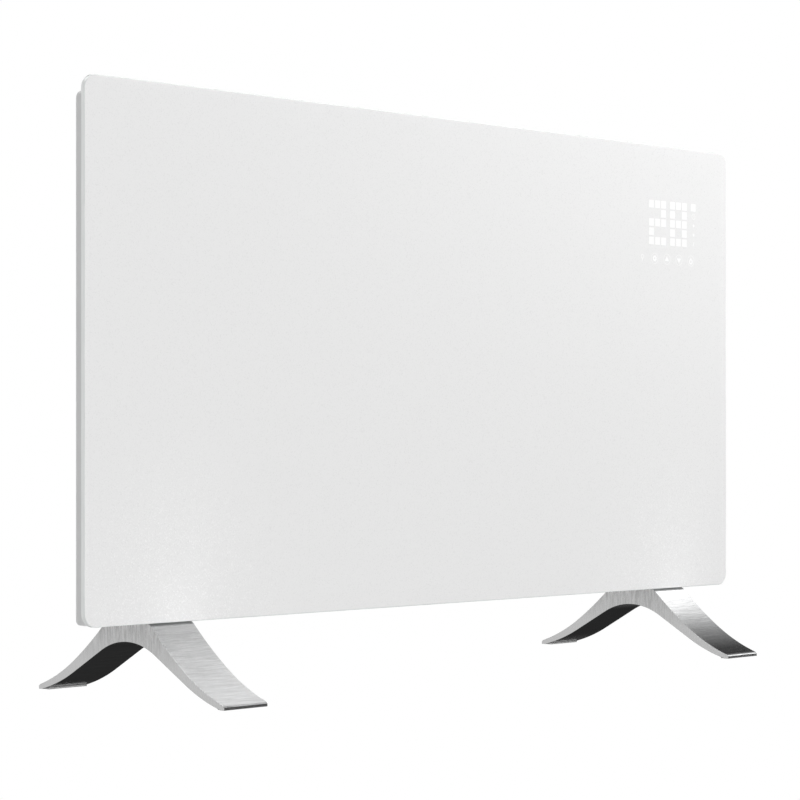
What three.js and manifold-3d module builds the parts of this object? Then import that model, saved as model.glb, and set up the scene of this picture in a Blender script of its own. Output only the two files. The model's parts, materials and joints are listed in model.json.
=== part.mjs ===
// Glass-front panel convector heater on two arched feet.
// Millimetres. X runs across the front, Y from the glass to the wall, Z up.
// The origin is on the floor, under the middle of the heater.
import * as THREE from 'three';
import { mergeVertices } from 'three/addons/utils/BufferGeometryUtils.js';
import Module from 'manifold-3d';

const wasm = await Module();
wasm.setup();

// ---------------------------------------------------------------- driving dimensions

const SEAT_GAP = 0.3; // between two pieces that touch
const FIT_GAP = 0.5; // round a piece that slides inside another
const SCREW_CLEARANCE = 0.4; // round a screw shank, on the radius

// Glass front
const GLASS_WIDTH = 854;
const GLASS_HEIGHT = 457;
const GLASS_THICKNESS = 4.75;
const GLASS_CORNER_RADIUS = 12;
const GLASS_EDGE_RADIUS = 0.8;
const BODY_DEPTH = 63; // glass face to rear wall

// Pressed rear casing: a straight rim, sloping shoulders and a flat rear wall
const SHEET = 0.9;
const RIM_DEPTH = 24.2; // glass face to the fold where the shoulders start
const RIM_SIDE_INSET = 10; // all insets run from the edge of the glass
const RIM_TOP_INSET = 11.5;
const RIM_BOTTOM_INSET = 0.4;
const RIM_CORNER_RADIUS = 4;
const WALL_SIDE_INSET = 42;
const WALL_TOP_INSET = 48;
const WALL_CORNER_RADIUS = 14;
const RIM_FOLD = 3; // length of sheet taken up by each rounded fold
const WALL_FOLD = 6;
const CORNER_STEPS = 4;
const FOLD_STEPS = 3;

// Inlet slots, in the floor of the casing and low in its rear wall
const FLOOR_SLOT_WIDTH = 6;
const FLOOR_SLOT_LENGTH = 30;
const FLOOR_SLOT_PITCH = 38;
const FLOOR_SLOT_MARGIN = 22; // from the feet to the first slots
const FLOOR_SLOT_ROWS = 2;
const FLOOR_ROW_PITCH = 13;
const WALL_SLOT_WIDTH = 7;
const WALL_SLOT_LENGTH = 28;
const WALL_SLOT_PITCH = 26;
const WALL_SLOT_MARGIN = 40;
const WALL_SLOT_HEIGHT = 38; // middle of the slots above the casing floor
const FLOOR_SLOT_END_STEPS = 1;
const WALL_SLOT_END_STEPS = 2;

// Louvred outlet grille in the upper shoulder
const GRILLE_SIDE_INSET = 107; // from the ends of the glass
const GRILLE_HEIGHT = 34;
const GRILLE_FLANGE = 2.6;
const GRILLE_FLANGE_THICKNESS = 1.2;
const GRILLE_NECK_DEPTH = 7.5;
const GRILLE_WALL = 1.6;
const LOUVRE_COUNT = 5;
const LOUVRE_THICKNESS = 1.3;
const LOUVRE_WIDTH = 8;
const LOUVRE_TILT = 38; // degrees from the plane of the shoulder
const GRILLE_RIB_PITCH = 80;
const GRILLE_RIB_THICKNESS = 1.4;
const GRILLE_RIB_DEPTH = 3.4;

// Steel chassis plate behind the glass
const GASKET_THICKNESS = 1.3;
const GASKET_WIDTH = 14;
const GASKET_INSET = 4; // from the edge of the chassis plate
const CHASSIS_SHEET = 0.8;
const CHASSIS_FLANGE = 6;
const CHASSIS_CORNER_RADIUS = 3;
const POST_RADIUS = 5;
const POST_BORE_DEPTH = 14;
const POST_SIDE_INSET = 55; // from the ends of the glass
const POST_LOW_HEIGHT = 18; // above the casing floor
const POST_DISPLAY_CLEARANCE = 28.6; // from the upper posts up to the display

// Screws that hold the casing to the posts
const CASING_SCREW_RADIUS = 1.7;
const CASING_SCREW_HEAD_RADIUS = 3.6;
const CASING_SCREW_HEAD_HEIGHT = 2.1;
const CASING_SCREW_LENGTH = 10;

// Arched feet
const FOOT_SPAN = 250.6; // tip to tip
const FOOT_WIDTH = 47.5;
const FOOT_SIDE_INSET = 70.5; // from the end of the glass to the outer face
const FOOT_HEIGHT = 66.1;
const FOOT_TOP_LENGTH = 54; // the flat seat, to the corners before they are bent
const FOOT_TOP_BEND = 3.6; // how far each top bend reaches from its corner
const FOOT_KNEE_SETBACK = 29.2; // from the tip to the corner that the toe's curve rounds off
const FOOT_KNEE_HEIGHT = 11.1;
const FOOT_TOE_HEIGHT = 4.2;
const FOOT_TOE_CHAMFER = 1.4;
const FOOT_LIP = 1.7; // metal in front of the pad
const FOOT_EDGE_SOFTENING = 0.3;
const ARCH_HEIGHT = 48.8;
const ARCH_CROWN_RUN = 19.3; // half the flat that the crown would have without its curve
const ARCH_KNEE_SETBACK = 31.9;
const ARCH_KNEE_HEIGHT = 8;
const ARCH_END_SETBACK = 12.5; // from the tip to the straight run down to the sole
const ARCH_END_HEIGHT = 2.4;
const PAD_THICKNESS = 1.8;
const PAD_PROUD = 0.3; // below the metal
const PAD_LENGTH = 9.2;
const PAD_SIDE_MARGIN = 2;
const CURVE_STEPS = 5;

// Foot screws and the plates they pull against
const FOOT_SCREW_RADIUS = 3;
const FOOT_SCREW_SPACING = 20;
const FOOT_SCREW_HEAD_RADIUS = 5;
const FOOT_SCREW_HEAD_HEIGHT = 6;
const FOOT_SCREW_SEAT_HEIGHT = 55.5;
const FOOT_SCREW_SOCKET = 2.9; // to the corners of the hexagon
const FOOT_SCREW_SOCKET_DEPTH = 3;
const NUT_PLATE_THICKNESS = 4;
const NUT_PLATE_WIDTH = 40;
const NUT_PLATE_LENGTH = 33;
const FOOT_SCREW_RUNOUT = 2.5; // beyond the nut plate

// Heating elements: finned aluminium profiles on sheathed rods
const ELEMENT_SIDE_INSET = 142; // from the left end of the glass
const ELEMENT_BOX_CLEARANCE = 53; // from their right end to the control box
const ELEMENT_LOW_HEIGHT = 64; // axis of the lower one above the casing floor
const ELEMENT_PITCH = 65;
const ELEMENT_DEPTH = 36; // axis of both behind the glass face
const FIN_HUB_RADIUS = 7.5;
const FIN_ARM_LENGTH = 30;
const FIN_ARM_THICKNESS = 2.2;
const FIN_ARM_ANGLE = 57; // degrees above the horizontal
const FIN_RIBS = 4;
const FIN_RIB_PITCH = 5.6;
const FIN_RIB_THICKNESS = 1.2;
const FIN_RIB_LENGTH = 4.2;
const ROD_RADIUS = 4;
const ROD_END = 24; // beyond the profile
const ROD_PIN_RADIUS = 1.6;
const ROD_PIN_LENGTH = 8;
const INSULATOR_COLLAR_RADIUS = 11;
const INSULATOR_COLLAR_LENGTH = 5;
const INSULATOR_NECK_RADIUS = 7.5;
const INSULATOR_NECK_LENGTH = 8;
const BRACKET_SHEET = 1.5;
const BRACKET_DEPTH = 46;
const BRACKET_MARGIN = 32; // above and below the element axes
const BRACKET_FLANGE = 14;

// Heat shield, air deflector, cut-out and room sensor
const SHIELD_SHEET = 0.8;
const SHIELD_STANDOFF = 3.2;
const SHIELD_MARGIN = 30;
const SHIELD_END_GAP = 6;
const DEFLECTOR_SHEET = 0.8;
const DEFLECTOR_TAB = 16;
const DEFLECTOR_RISE = 44;
const DEFLECTOR_REACH = 12;
const DEFLECTOR_TOP_INSET = 24;
const DEFLECTOR_OVERHANG = 15; // past each end of the elements
const CUTOUT_RADIUS = 8;
const CUTOUT_DEPTH = 8;
const CUTOUT_TAB_LENGTH = 32;
const CUTOUT_TAB_HEIGHT = 16;
const CUTOUT_TAB_SHEET = 1;
const CUTOUT_BLADE_WIDTH = 6;
const CUTOUT_BLADE_THICKNESS = 0.8;
const CUTOUT_INSET = 85; // from the right end of the elements
const CUTOUT_RISE = 50; // above the upper element axis
const SENSOR_RADIUS = 2.6;
const SENSOR_LENGTH = 16;
const SENSOR_BASE = 10;
const SENSOR_BASE_DEPTH = 7;
const SENSOR_CLEARANCE = 27; // past the right end of the elements
const SENSOR_HEIGHT = 32; // above the casing floor

// Control box, at the right behind the glass
const BOX_WIDTH = 94;
const BOX_POST_CLEARANCE = 35; // from its top to the upper posts
const BOX_DEPTH = 42;
const BOX_WALL = 2;
const BOX_SIDE_INSET = 45; // from the end of the glass
const BOX_BASE_HEIGHT = 84; // above the casing floor
const BOX_CORNER_RADIUS = 4;
const BOX_LID_THICKNESS = 2.2;
const BOX_LID_LIP = 3;
const BOARD_THICKNESS = 1.6;
const BOARD_MARGIN = 3;
const BOARD_POST_HEIGHT = 5;
const BOARD_POST_RADIUS = 3;
const BOARD_POST_INSET = 8;
const RELAY_SIZE = [20, 15, 27];
const RELAY_PITCH = 30;
const POWER_SUPPLY_SIZE = [34, 18, 48];
const TERMINAL_SIZE = [56, 13, 16];
const TERMINAL_WAYS = 5;
const TERMINAL_HOLE_RADIUS = 2.2;
const TERMINAL_HOLE_DEPTH = 6;
const TERMINAL_BARRIER_THICKNESS = 1.2;
const TERMINAL_BARRIER_RISE = 2;
const COMPONENT_MARGIN = 4; // from the edge of the power board
const POWER_SUPPLY_DROP = 10; // below the middle of the control box
const LEAD_HOLE_RADIUS = 2.4;
const LEAD_ENTRY_RISE = 18; // lower entry above the bottom of the control box
const LEAD_ENTRY_PITCH = 26;

// Light guide, board and touch film of the display
const DISPLAY_WIDTH = 101;
const DISPLAY_HEIGHT = 73;
const DISPLAY_SIDE_INSET = 46; // from the right end of the glass
const DISPLAY_TOP_INSET = 52;
const LIGHT_GUIDE_FLANGE = 4;
const LIGHT_GUIDE_FLANGE_THICKNESS = 2.4;
const LIGHT_BLOCK = 8;
const LIGHT_BLOCK_PITCH_X = 9.75;
const LIGHT_BLOCK_PITCH_Z = 9.45;
const DIGIT_COLUMNS = 3;
const DIGIT_ROWS = 5;
const DIGIT_COUNT = 2;
const DIGIT_PITCH = 34.1;
const DIGIT_LEFT_MARGIN = 19.1;
const DIGIT_TOP_MARGIN = 4.9;
const DEGREE_LEFT_MARGIN = 87.3;
const STATUS_COUNT = 4;
const STATUS_RADIUS = 2.8;
const STATUS_LEFT_MARGIN = 91.7;
const STATUS_TOP_MARGIN = 18.2;
const STATUS_PITCH = 9.6;
const KEY_COUNT = 5;
const KEY_RADIUS = 6.4;
const KEY_PITCH = 19.72;
const KEY_LEFT_MARGIN = 10.5;
const KEY_TOP_MARGIN = 64;
const TOUCH_FILM_THICKNESS = 0.4;
const TOUCH_FILM_HEIGHT = 15;
const RIBBON_WIDTH = 22;
const RIBBON_THICKNESS = 1;
const RIBBON_OVERLAP = 30; // how far it lies up the back of the display board

// Tip-over switch: a weighted pendulum between two cheeks
const TIP_SWING = 20; // degrees each way
const TIP_ARM_LENGTH = 16;
const TIP_ARM_WIDTH = 3;
const TIP_WEIGHT_RADIUS = 4.5;
const TIP_WEIGHT_LENGTH = 9;
const TIP_PIN_RADIUS = 1.5;
const TIP_CHEEK = 1.6;
const TIP_MARGIN = 5; // cheek beyond the swing, above, below and behind
const TIP_BACK_CLEARANCE = 1; // between the swinging weight and the back of its housing
const TIP_SIDE_INSET = 127; // from the right end of the glass
const TIP_PIVOT_HEIGHT = 62; // above the casing floor

// Mains rocker switch in the right rim of the casing
const SWITCH_BEZEL_WIDTH = 15;
const SWITCH_BEZEL_HEIGHT = 25;
const SWITCH_BEZEL_THICKNESS = 1.8;
const SWITCH_BEZEL_RADIUS = 2;
const SWITCH_BODY_WIDTH = 12.4;
const SWITCH_BODY_HEIGHT = 21;
const SWITCH_BODY_DEPTH = 18;
const SWITCH_HEIGHT = 60; // middle above the casing floor
const SWITCH_WALL = 1.4;
const ROCKER_THROW = 14; // degrees from off to on
const ROCKER_HALF_HEIGHT = 8;
const ROCKER_FACE = 2.6; // pivot to the raised ends of the face
const ROCKER_DISH = 1.3; // depth of the dished middle
const ROCKER_SKIRT = 2.2;
const ROCKER_PIN_RADIUS = 1.1;
const ROCKER_PIN_LENGTH = 0.8;

// Cable gland and the two keyhole plates for the wall hooks
const GLAND_NECK_RADIUS = 7.7;
const GLAND_FLANGE_RADIUS = 10;
const GLAND_FLANGE_THICKNESS = 3;
const GLAND_INNER_LENGTH = 9;
const GLAND_BORE_RADIUS = 4.4;
const GLAND_SIDE_INSET = 102; // from the right end of the glass
const GLAND_HEIGHT = 58; // above the casing floor
const HOOK_PLATE_SIZE = 50;
const HOOK_PLATE_THICKNESS = 2;
const HOOK_WINDOW_WIDTH = 26;
const HOOK_WINDOW_HEIGHT = 36;
const HOOK_SIDE_INSET = 177; // from the ends of the glass
const HOOK_TOP_INSET = 122.6; // middle below the top of the glass
const KEYHOLE_RADIUS = 6.5;
const KEYHOLE_SLOT_WIDTH = 7;
const KEYHOLE_SLOT_LENGTH = 13;

// Inner leads
const LEAD_RADIUS = 1.5;
const LEAD_SIDES = 6;
const LEAD_STEPS = 10;

// ---------------------------------------------------------------- derived planes

const glassHalf = GLASS_WIDTH / 2;
const glassFrontY = -BODY_DEPTH / 2;
const glassBackY = glassFrontY + GLASS_THICKNESS;
const wallOuterY = BODY_DEPTH / 2;
const wallInnerY = wallOuterY - SHEET;
const casingBottomZ = FOOT_HEIGHT + SEAT_GAP;
const casingFloorZ = casingBottomZ + SHEET;
const glassBottomZ = casingBottomZ - RIM_BOTTOM_INSET;
const glassTopZ = glassBottomZ + GLASS_HEIGHT;
const casingFrontY = glassBackY + SEAT_GAP;
const shoulderStartY = glassFrontY + RIM_DEPTH;
const rimTopZ = glassTopZ - RIM_TOP_INSET;
const rimOuterX = glassHalf - RIM_SIDE_INSET;
const chassisFrontY = glassBackY + 2 * SEAT_GAP + GASKET_THICKNESS;
const chassisBackY = chassisFrontY + CHASSIS_SHEET;
const seatOnChassisY = chassisBackY + SEAT_GAP;
const chassisHalf = rimOuterX - SHEET - FIT_GAP;
const chassisLowZ = casingFloorZ + FIT_GAP;
const chassisHighZ = rimTopZ - SHEET - FIT_GAP;
const footMiddleX = glassHalf - FOOT_SIDE_INSET - FOOT_WIDTH / 2;
const degrees = Math.PI / 180;

// ---------------------------------------------------------------- geometry helpers

function toSolid(geometry) {
  const bare = geometry.clone();
  bare.deleteAttribute('normal');
  bare.deleteAttribute('uv');
  const merged = mergeVertices(bare, 1e-5);
  const index = Array.from(merged.index.array);
  const corners = [];
  for (let i = 0; i < index.length; i += 3) {
    const [a, b, c] = index.slice(i, i + 3);
    if (a !== b && b !== c && c !== a) corners.push(a, b, c);
  }
  return new wasm.Manifold(new wasm.Mesh({
    numProp: 3,
    vertProperties: new Float32Array(merged.attributes.position.array),
    triVerts: new Uint32Array(corners),
  }));
}

function toGeometry(solid) {
  const { numProp, vertProperties, triVerts } = solid.getMesh();
  const positions = new Float32Array(vertProperties.length / numProp * 3);
  for (let i = 0; i * numProp < vertProperties.length; i++) {
    positions.set(vertProperties.subarray(i * numProp, i * numProp + 3), i * 3);
  }
  const geometry = new THREE.BufferGeometry();
  geometry.setAttribute('position', new THREE.BufferAttribute(positions, 3));
  geometry.setIndex(new THREE.BufferAttribute(new Uint32Array(triVerts), 1));
  geometry.computeVertexNormals();
  return geometry;
}

const joined = (solids) => solids.reduce((whole, solid) => whole.add(solid));

// A block from its lowest to its highest corner.
function block([x0, y0, z0], [x1, y1, z1]) {
  const geometry = new THREE.BoxGeometry(x1 - x0, y1 - y0, z1 - z0);
  geometry.translate((x0 + x1) / 2, (y0 + y1) / 2, (z0 + z1) / 2);
  return toSolid(geometry);
}

// Turns a geometry made along local Z so that it runs along the named axis.
// Its local x and y become (y, z) for axis x, (x, z) for axis y and (x, y) for axis z.
function along(axis, geometry) {
  const turn = new THREE.Matrix4();
  if (axis === 'x') turn.set(0, 0, 1, 0, 1, 0, 0, 0, 0, 1, 0, 0, 0, 0, 0, 1);
  if (axis === 'y') turn.set(1, 0, 0, 0, 0, 0, -1, 0, 0, 1, 0, 0, 0, 0, 0, 1);
  return geometry.applyMatrix4(turn);
}

// A shape extruded along an axis, from one coordinate on it to another.
function extruded(axis, shape, from, to, curveSegments = CORNER_STEPS) {
  const geometry = new THREE.ExtrudeGeometry(shape, {
    depth: to - from, bevelEnabled: false, curveSegments,
  });
  geometry.translate(0, 0, axis === 'y' ? -to : from);
  return toSolid(along(axis, geometry));
}

// A profile of [radius, place along the axis] points turned about an axis.
function turned(axis, profile, segments = 20) {
  const points = profile.map(([radius, place]) => new THREE.Vector2(radius, place));
  const geometry = new THREE.LatheGeometry(points, segments);
  if (axis === 'x') geometry.rotateZ(-90 * degrees);
  if (axis === 'z') geometry.rotateX(90 * degrees);
  return toSolid(geometry);
}

// A round rod along an axis; (u, v) are its other two coordinates in x, y, z order.
function rod(axis, radius, from, to, [u, v] = [0, 0], segments = 16) {
  const solid = turned(axis, [[0, from], [radius, from], [radius, to], [0, to]], segments);
  const shift = { x: [0, u, v], y: [u, 0, v], z: [u, v, 0] }[axis];
  return solid.translate(shift);
}

function rectanglePoints(width, height, radius, steps = CORNER_STEPS) {
  const corners = [[1, -1, -90], [1, 1, 0], [-1, 1, 90], [-1, -1, 180]];
  return corners.flatMap(([sideX, sideY, start]) => Array.from({ length: steps + 1 }, (_, i) => {
    const angle = (start + 90 * i / steps) * degrees;
    return new THREE.Vector2(
      sideX * (width / 2 - radius) + radius * Math.cos(angle),
      sideY * (height / 2 - radius) + radius * Math.sin(angle),
    );
  }));
}

function rectangle([u, v], width, height, radius = 0, steps = CORNER_STEPS) {
  const points = radius > 0
    ? rectanglePoints(width, height, radius, steps)
    : [[-1, -1], [1, -1], [1, 1], [-1, 1]].map(
      ([sideX, sideY]) => new THREE.Vector2(sideX * width / 2, sideY * height / 2));
  return new THREE.Shape(points.map((point) => point.add(new THREE.Vector2(u, v))));
}

function circle([u, v], radius) {
  return new THREE.Shape().absarc(u, v, radius, 0, 2 * Math.PI);
}

// A closed solid through rings that each have the same number of points, front ring first.
function loft(rings) {
  const count = rings[0].length;
  const last = (rings.length - 1) * count;
  const corners = [];
  for (let start = 0; start < last; start += count) {
    for (let i = 0; i < count; i++) {
      const next = (i + 1) % count;
      corners.push(start + i, start + count + i, start + next);
      corners.push(start + next, start + count + i, start + count + next);
    }
  }
  for (let i = 1; i + 1 < count; i++) {
    corners.push(0, i, i + 1, last, last + i + 1, last + i);
  }
  const geometry = new THREE.BufferGeometry();
  geometry.setAttribute('position', new THREE.Float32BufferAttribute(
    rings.flat().flatMap((point) => [point.x, point.y, point.z]), 3));
  geometry.setIndex(corners);
  return toSolid(geometry);
}

// A round lead along a smooth curve through its points.
function lead(points) {
  const path = new THREE.CatmullRomCurve3(points.map((point) => new THREE.Vector3(...point)));
  const section = new THREE.Shape(Array.from({ length: LEAD_SIDES }, (_, i) => {
    const angle = 2 * Math.PI * i / LEAD_SIDES;
    return new THREE.Vector2(LEAD_RADIUS * Math.cos(angle), LEAD_RADIUS * Math.sin(angle));
  }));
  return toSolid(new THREE.ExtrudeGeometry(section, {
    extrudePath: path, steps: LEAD_STEPS, bevelEnabled: false,
  }));
}

// ---------------------------------------------------------------- materials and assembly

function finish(color, metalness, roughness) {
  return () => new THREE.MeshStandardMaterial({ color, metalness, roughness });
}

const satinGlass = finish(0xe9eaec, 0, 0.3);
const whitePaint = finish(0xdfe0e2, 0.1, 0.5);
const brushedMetal = finish(0xb9babc, 1, 0.35);
const zincSteel = finish(0xa9adb1, 1, 0.45);
const aluminium = finish(0xc4c7ca, 1, 0.4);
const whitePlastic = finish(0xd8d9da, 0, 0.55);
const darkPlastic = finish(0x2c2d30, 0, 0.5);
const circuitBoard = finish(0x24603a, 0, 0.5);
const greyRubber = finish(0xb4b5b4, 0, 0.85);
const ceramic = finish(0xe8e2d4, 0, 0.6);
const redLead = finish(0xa83a30, 0, 0.6);

const heater = new THREE.Group();

function place(parent, name, solid, material, position = [0, 0, 0]) {
  const mesh = new THREE.Mesh(toGeometry(solid), material());
  mesh.name = name;
  mesh.position.set(...position);
  parent.add(mesh);
  return mesh;
}

// ---------------------------------------------------------------- glass, gasket and chassis

function frontGlass() {
  const softening = GLASS_EDGE_RADIUS;
  const middleZ = (glassBottomZ + glassTopZ) / 2;
  const shape = rectangle([0, middleZ], GLASS_WIDTH, GLASS_HEIGHT, GLASS_CORNER_RADIUS, 6);
  const geometry = new THREE.ExtrudeGeometry(shape, {
    depth: GLASS_THICKNESS - 2 * softening,
    bevelThickness: softening,
    bevelSize: softening,
    bevelOffset: -softening,
    bevelSegments: 2,
  });
  geometry.translate(0, 0, -glassBackY + softening);
  return toSolid(along('y', geometry));
}

function chassisOutline(inset) {
  return rectangle(
    [0, (chassisLowZ + chassisHighZ) / 2],
    2 * (chassisHalf - inset),
    chassisHighZ - chassisLowZ - 2 * inset,
    CHASSIS_CORNER_RADIUS,
  );
}

function glassGasket() {
  const shape = chassisOutline(GASKET_INSET);
  shape.holes.push(chassisOutline(GASKET_INSET + GASKET_WIDTH));
  return extruded('y', shape, glassBackY + SEAT_GAP, glassBackY + SEAT_GAP + GASKET_THICKNESS);
}

const displayRightX = glassHalf - DISPLAY_SIDE_INSET;
const displayLeftX = displayRightX - DISPLAY_WIDTH;
const displayTopZ = glassTopZ - DISPLAY_TOP_INSET;
const displayMiddle = [(displayLeftX + displayRightX) / 2, displayTopZ - DISPLAY_HEIGHT / 2];
const displayBoardLowZ = displayTopZ - DISPLAY_HEIGHT - LIGHT_GUIDE_FLANGE;
const postHighZ = displayBoardLowZ - POST_DISPLAY_CLEARANCE;

function postPlaces() {
  const columns = [-glassHalf + POST_SIDE_INSET, 0, glassHalf - POST_SIDE_INSET];
  const rows = [casingBottomZ + POST_LOW_HEIGHT, postHighZ];
  return rows.flatMap((z) => columns.map((x) => [x, z]));
}

const switchMiddleY = (casingFrontY + shoulderStartY) / 2;
const switchMiddleZ = casingBottomZ + SWITCH_HEIGHT;

// The space that the mains switch passes through in the rim and in the chassis flange.
function switchPassage(clearance) {
  const halfWidth = SWITCH_BODY_WIDTH / 2 + clearance;
  const halfHeight = SWITCH_BODY_HEIGHT / 2 + clearance;
  return block(
    [rimOuterX - SWITCH_BODY_DEPTH - clearance, switchMiddleY - halfWidth, switchMiddleZ - halfHeight],
    [rimOuterX + SHEET, switchMiddleY + halfWidth, switchMiddleZ + halfHeight],
  );
}

function chassisPlate() {
  const face = chassisOutline(0);
  const window = [DISPLAY_WIDTH + 2 * FIT_GAP, DISPLAY_HEIGHT + 2 * FIT_GAP];
  face.holes.push(rectangle(displayMiddle, ...window, CHASSIS_CORNER_RADIUS));
  const flange = chassisOutline(0);
  flange.holes.push(chassisOutline(CHASSIS_SHEET));
  const posts = postPlaces().map((place) => rod(
    'y', POST_RADIUS, chassisFrontY + CHASSIS_SHEET / 2, wallInnerY - SEAT_GAP, place, 12));
  const bores = postPlaces().map((place) => rod(
    'y', CASING_SCREW_RADIUS + SCREW_CLEARANCE, wallInnerY - POST_BORE_DEPTH, wallOuterY, place, 10));
  return joined([
    extruded('y', face, chassisFrontY, chassisBackY),
    extruded('y', flange, chassisFrontY, chassisBackY + CHASSIS_FLANGE),
    ...posts,
  ]).subtract(joined(bores)).subtract(switchPassage(FIT_GAP));
}

// ---------------------------------------------------------------- rear casing and grille

// One ring of the casing: how far back it is, its share of the way from the rim to the rear wall,
// its lift off the floor line, and the thickness taken off it.
function casingRing({ y, share, lift }, offset) {
  const side = THREE.MathUtils.lerp(RIM_SIDE_INSET, WALL_SIDE_INSET, share) + offset;
  const top = THREE.MathUtils.lerp(RIM_TOP_INSET, WALL_TOP_INSET, share) + offset;
  const radius = THREE.MathUtils.lerp(RIM_CORNER_RADIUS, WALL_CORNER_RADIUS, share) - offset;
  const low = casingBottomZ + lift + offset;
  const high = glassTopZ - top;
  return rectanglePoints(2 * (glassHalf - side), high - low, radius)
    .map((point) => new THREE.Vector3(point.x, y, point.y + (low + high) / 2));
}

function casingShape(offset, frontY) {
  const shoulderRun = wallOuterY - shoulderStartY;
  const shoulderWidth = WALL_SIDE_INSET - RIM_SIDE_INSET;
  const shoulderLength = Math.hypot(shoulderRun, shoulderWidth);
  const slope = Math.atan2(shoulderWidth, shoulderRun);
  const foldY = shoulderStartY - offset * Math.tan(slope / 2);
  const backY = wallOuterY - offset;
  const backShare = 1 + offset * Math.tan(Math.PI / 4 - slope / 2) / shoulderWidth;
  const onShoulder = (share) => ({
    y: THREE.MathUtils.lerp(foldY, backY, share), share: backShare * share, lift: 0,
  });
  const bend = (from, corner, to) => Array.from({ length: FOLD_STEPS + 1 }, (_, i) => {
    const t = i / FOLD_STEPS;
    const mix = (key) => (1 - t) ** 2 * from[key] + 2 * t * (1 - t) * corner[key] + t ** 2 * to[key];
    return { y: mix('y'), share: mix('share'), lift: mix('lift') };
  });
  const rimFold = RIM_FOLD / shoulderLength;
  const wallFold = WALL_FOLD / shoulderLength;
  const rings = [
    { y: frontY, share: 0, lift: 0 },
    ...bend({ y: foldY - RIM_FOLD, share: 0, lift: 0 }, onShoulder(0), onShoulder(rimFold)),
    ...bend(onShoulder(1 - wallFold), onShoulder(1), {
      y: backY, share: backShare + wallFold, lift: WALL_FOLD / 2,
    }),
  ];
  return loft(rings.map((ring) => casingRing(ring, offset)));
}

// The upper shoulder's own axes: along X, down the slope, and out of it.
function shoulderFrame() {
  const start = new THREE.Vector3(0, shoulderStartY, rimTopZ);
  const end = new THREE.Vector3(0, wallOuterY, glassTopZ - WALL_TOP_INSET);
  const down = end.clone().sub(start).normalize();
  const across = new THREE.Vector3(1, 0, 0);
  const out = across.clone().cross(down);
  return new THREE.Matrix4()
    .makeBasis(across, down, out)
    .setPosition(start.add(end).multiplyScalar(0.5));
}

const ontoShoulder = (solid) => solid.transform(shoulderFrame().elements);

// Evenly spaced places about zero.
function spread(count, pitch) {
  return Array.from({ length: count }, (_, i) => pitch * (i - (count - 1) / 2));
}

// As many places at a pitch as fit in a length.
const fitted = (length, pitch) => spread(Math.floor(length / pitch) + 1, pitch);

function floorSlots() {
  const length = 2 * (footMiddleX - FOOT_WIDTH / 2 - FLOOR_SLOT_MARGIN) - FLOOR_SLOT_LENGTH;
  return fitted(length, FLOOR_SLOT_PITCH).flatMap((x) => (
    spread(FLOOR_SLOT_ROWS, FLOOR_ROW_PITCH).map((y) => {
      const end = FLOOR_SLOT_WIDTH / 2;
      const slot = rectangle([x, y], FLOOR_SLOT_LENGTH, FLOOR_SLOT_WIDTH, end, FLOOR_SLOT_END_STEPS);
      return extruded('z', slot, casingBottomZ - SHEET, casingFloorZ + SHEET);
    })
  ));
}

function wallSlots() {
  const length = 2 * (footMiddleX - FOOT_WIDTH / 2 - WALL_SLOT_MARGIN) - WALL_SLOT_WIDTH;
  return fitted(length, WALL_SLOT_PITCH).map((x) => {
    const middle = [x, casingBottomZ + WALL_SLOT_HEIGHT];
    const end = WALL_SLOT_WIDTH / 2;
    const slot = rectangle(middle, WALL_SLOT_WIDTH, WALL_SLOT_LENGTH, end, WALL_SLOT_END_STEPS);
    return extruded('y', slot, wallInnerY - SHEET, wallOuterY + SHEET);
  });
}

const grilleLength = GLASS_WIDTH - 2 * GRILLE_SIDE_INSET;
const glandPlace = [glassHalf - GLAND_SIDE_INSET, casingBottomZ + GLAND_HEIGHT];
const hookPlaces = [-1, 1].map(
  (side) => [side * (glassHalf - HOOK_SIDE_INSET), glassTopZ - HOOK_TOP_INSET]);

function rearCasing() {
  const throughWall = [wallInnerY - SHEET, wallOuterY + SHEET];
  const screwHoles = postPlaces().map((place) => rod(
    'y', CASING_SCREW_RADIUS + SCREW_CLEARANCE, ...throughWall, place, 12));
  const footHoles = [-1, 1].flatMap((side) => [-1, 1].map((end) => rod(
    'z', FOOT_SCREW_RADIUS + SCREW_CLEARANCE, casingBottomZ - SHEET, casingFloorZ + SHEET,
    [side * footMiddleX, end * FOOT_SCREW_SPACING / 2], 12)));
  const hookWindows = hookPlaces.map((place) => extruded(
    'y', rectangle(place, HOOK_WINDOW_WIDTH, HOOK_WINDOW_HEIGHT, 2, 2), ...throughWall));
  const grilleHole = ontoShoulder(block(
    [-grilleLength / 2, -GRILLE_HEIGHT / 2, -2 * SHEET - SEAT_GAP],
    [grilleLength / 2, GRILLE_HEIGHT / 2, 2 * SHEET],
  ));
  const glandHole = rod('y', GLAND_NECK_RADIUS + SEAT_GAP, ...throughWall, glandPlace, 24);
  const inlets = [...floorSlots(), ...wallSlots()];
  const cutters = [...inlets, ...screwHoles, ...footHoles, ...hookWindows, grilleHole, glandHole];
  return casingShape(0, casingFrontY)
    .subtract(casingShape(SHEET, casingFrontY - SHEET))
    .subtract(joined(cutters))
    .subtract(switchPassage(SEAT_GAP));
}

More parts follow.
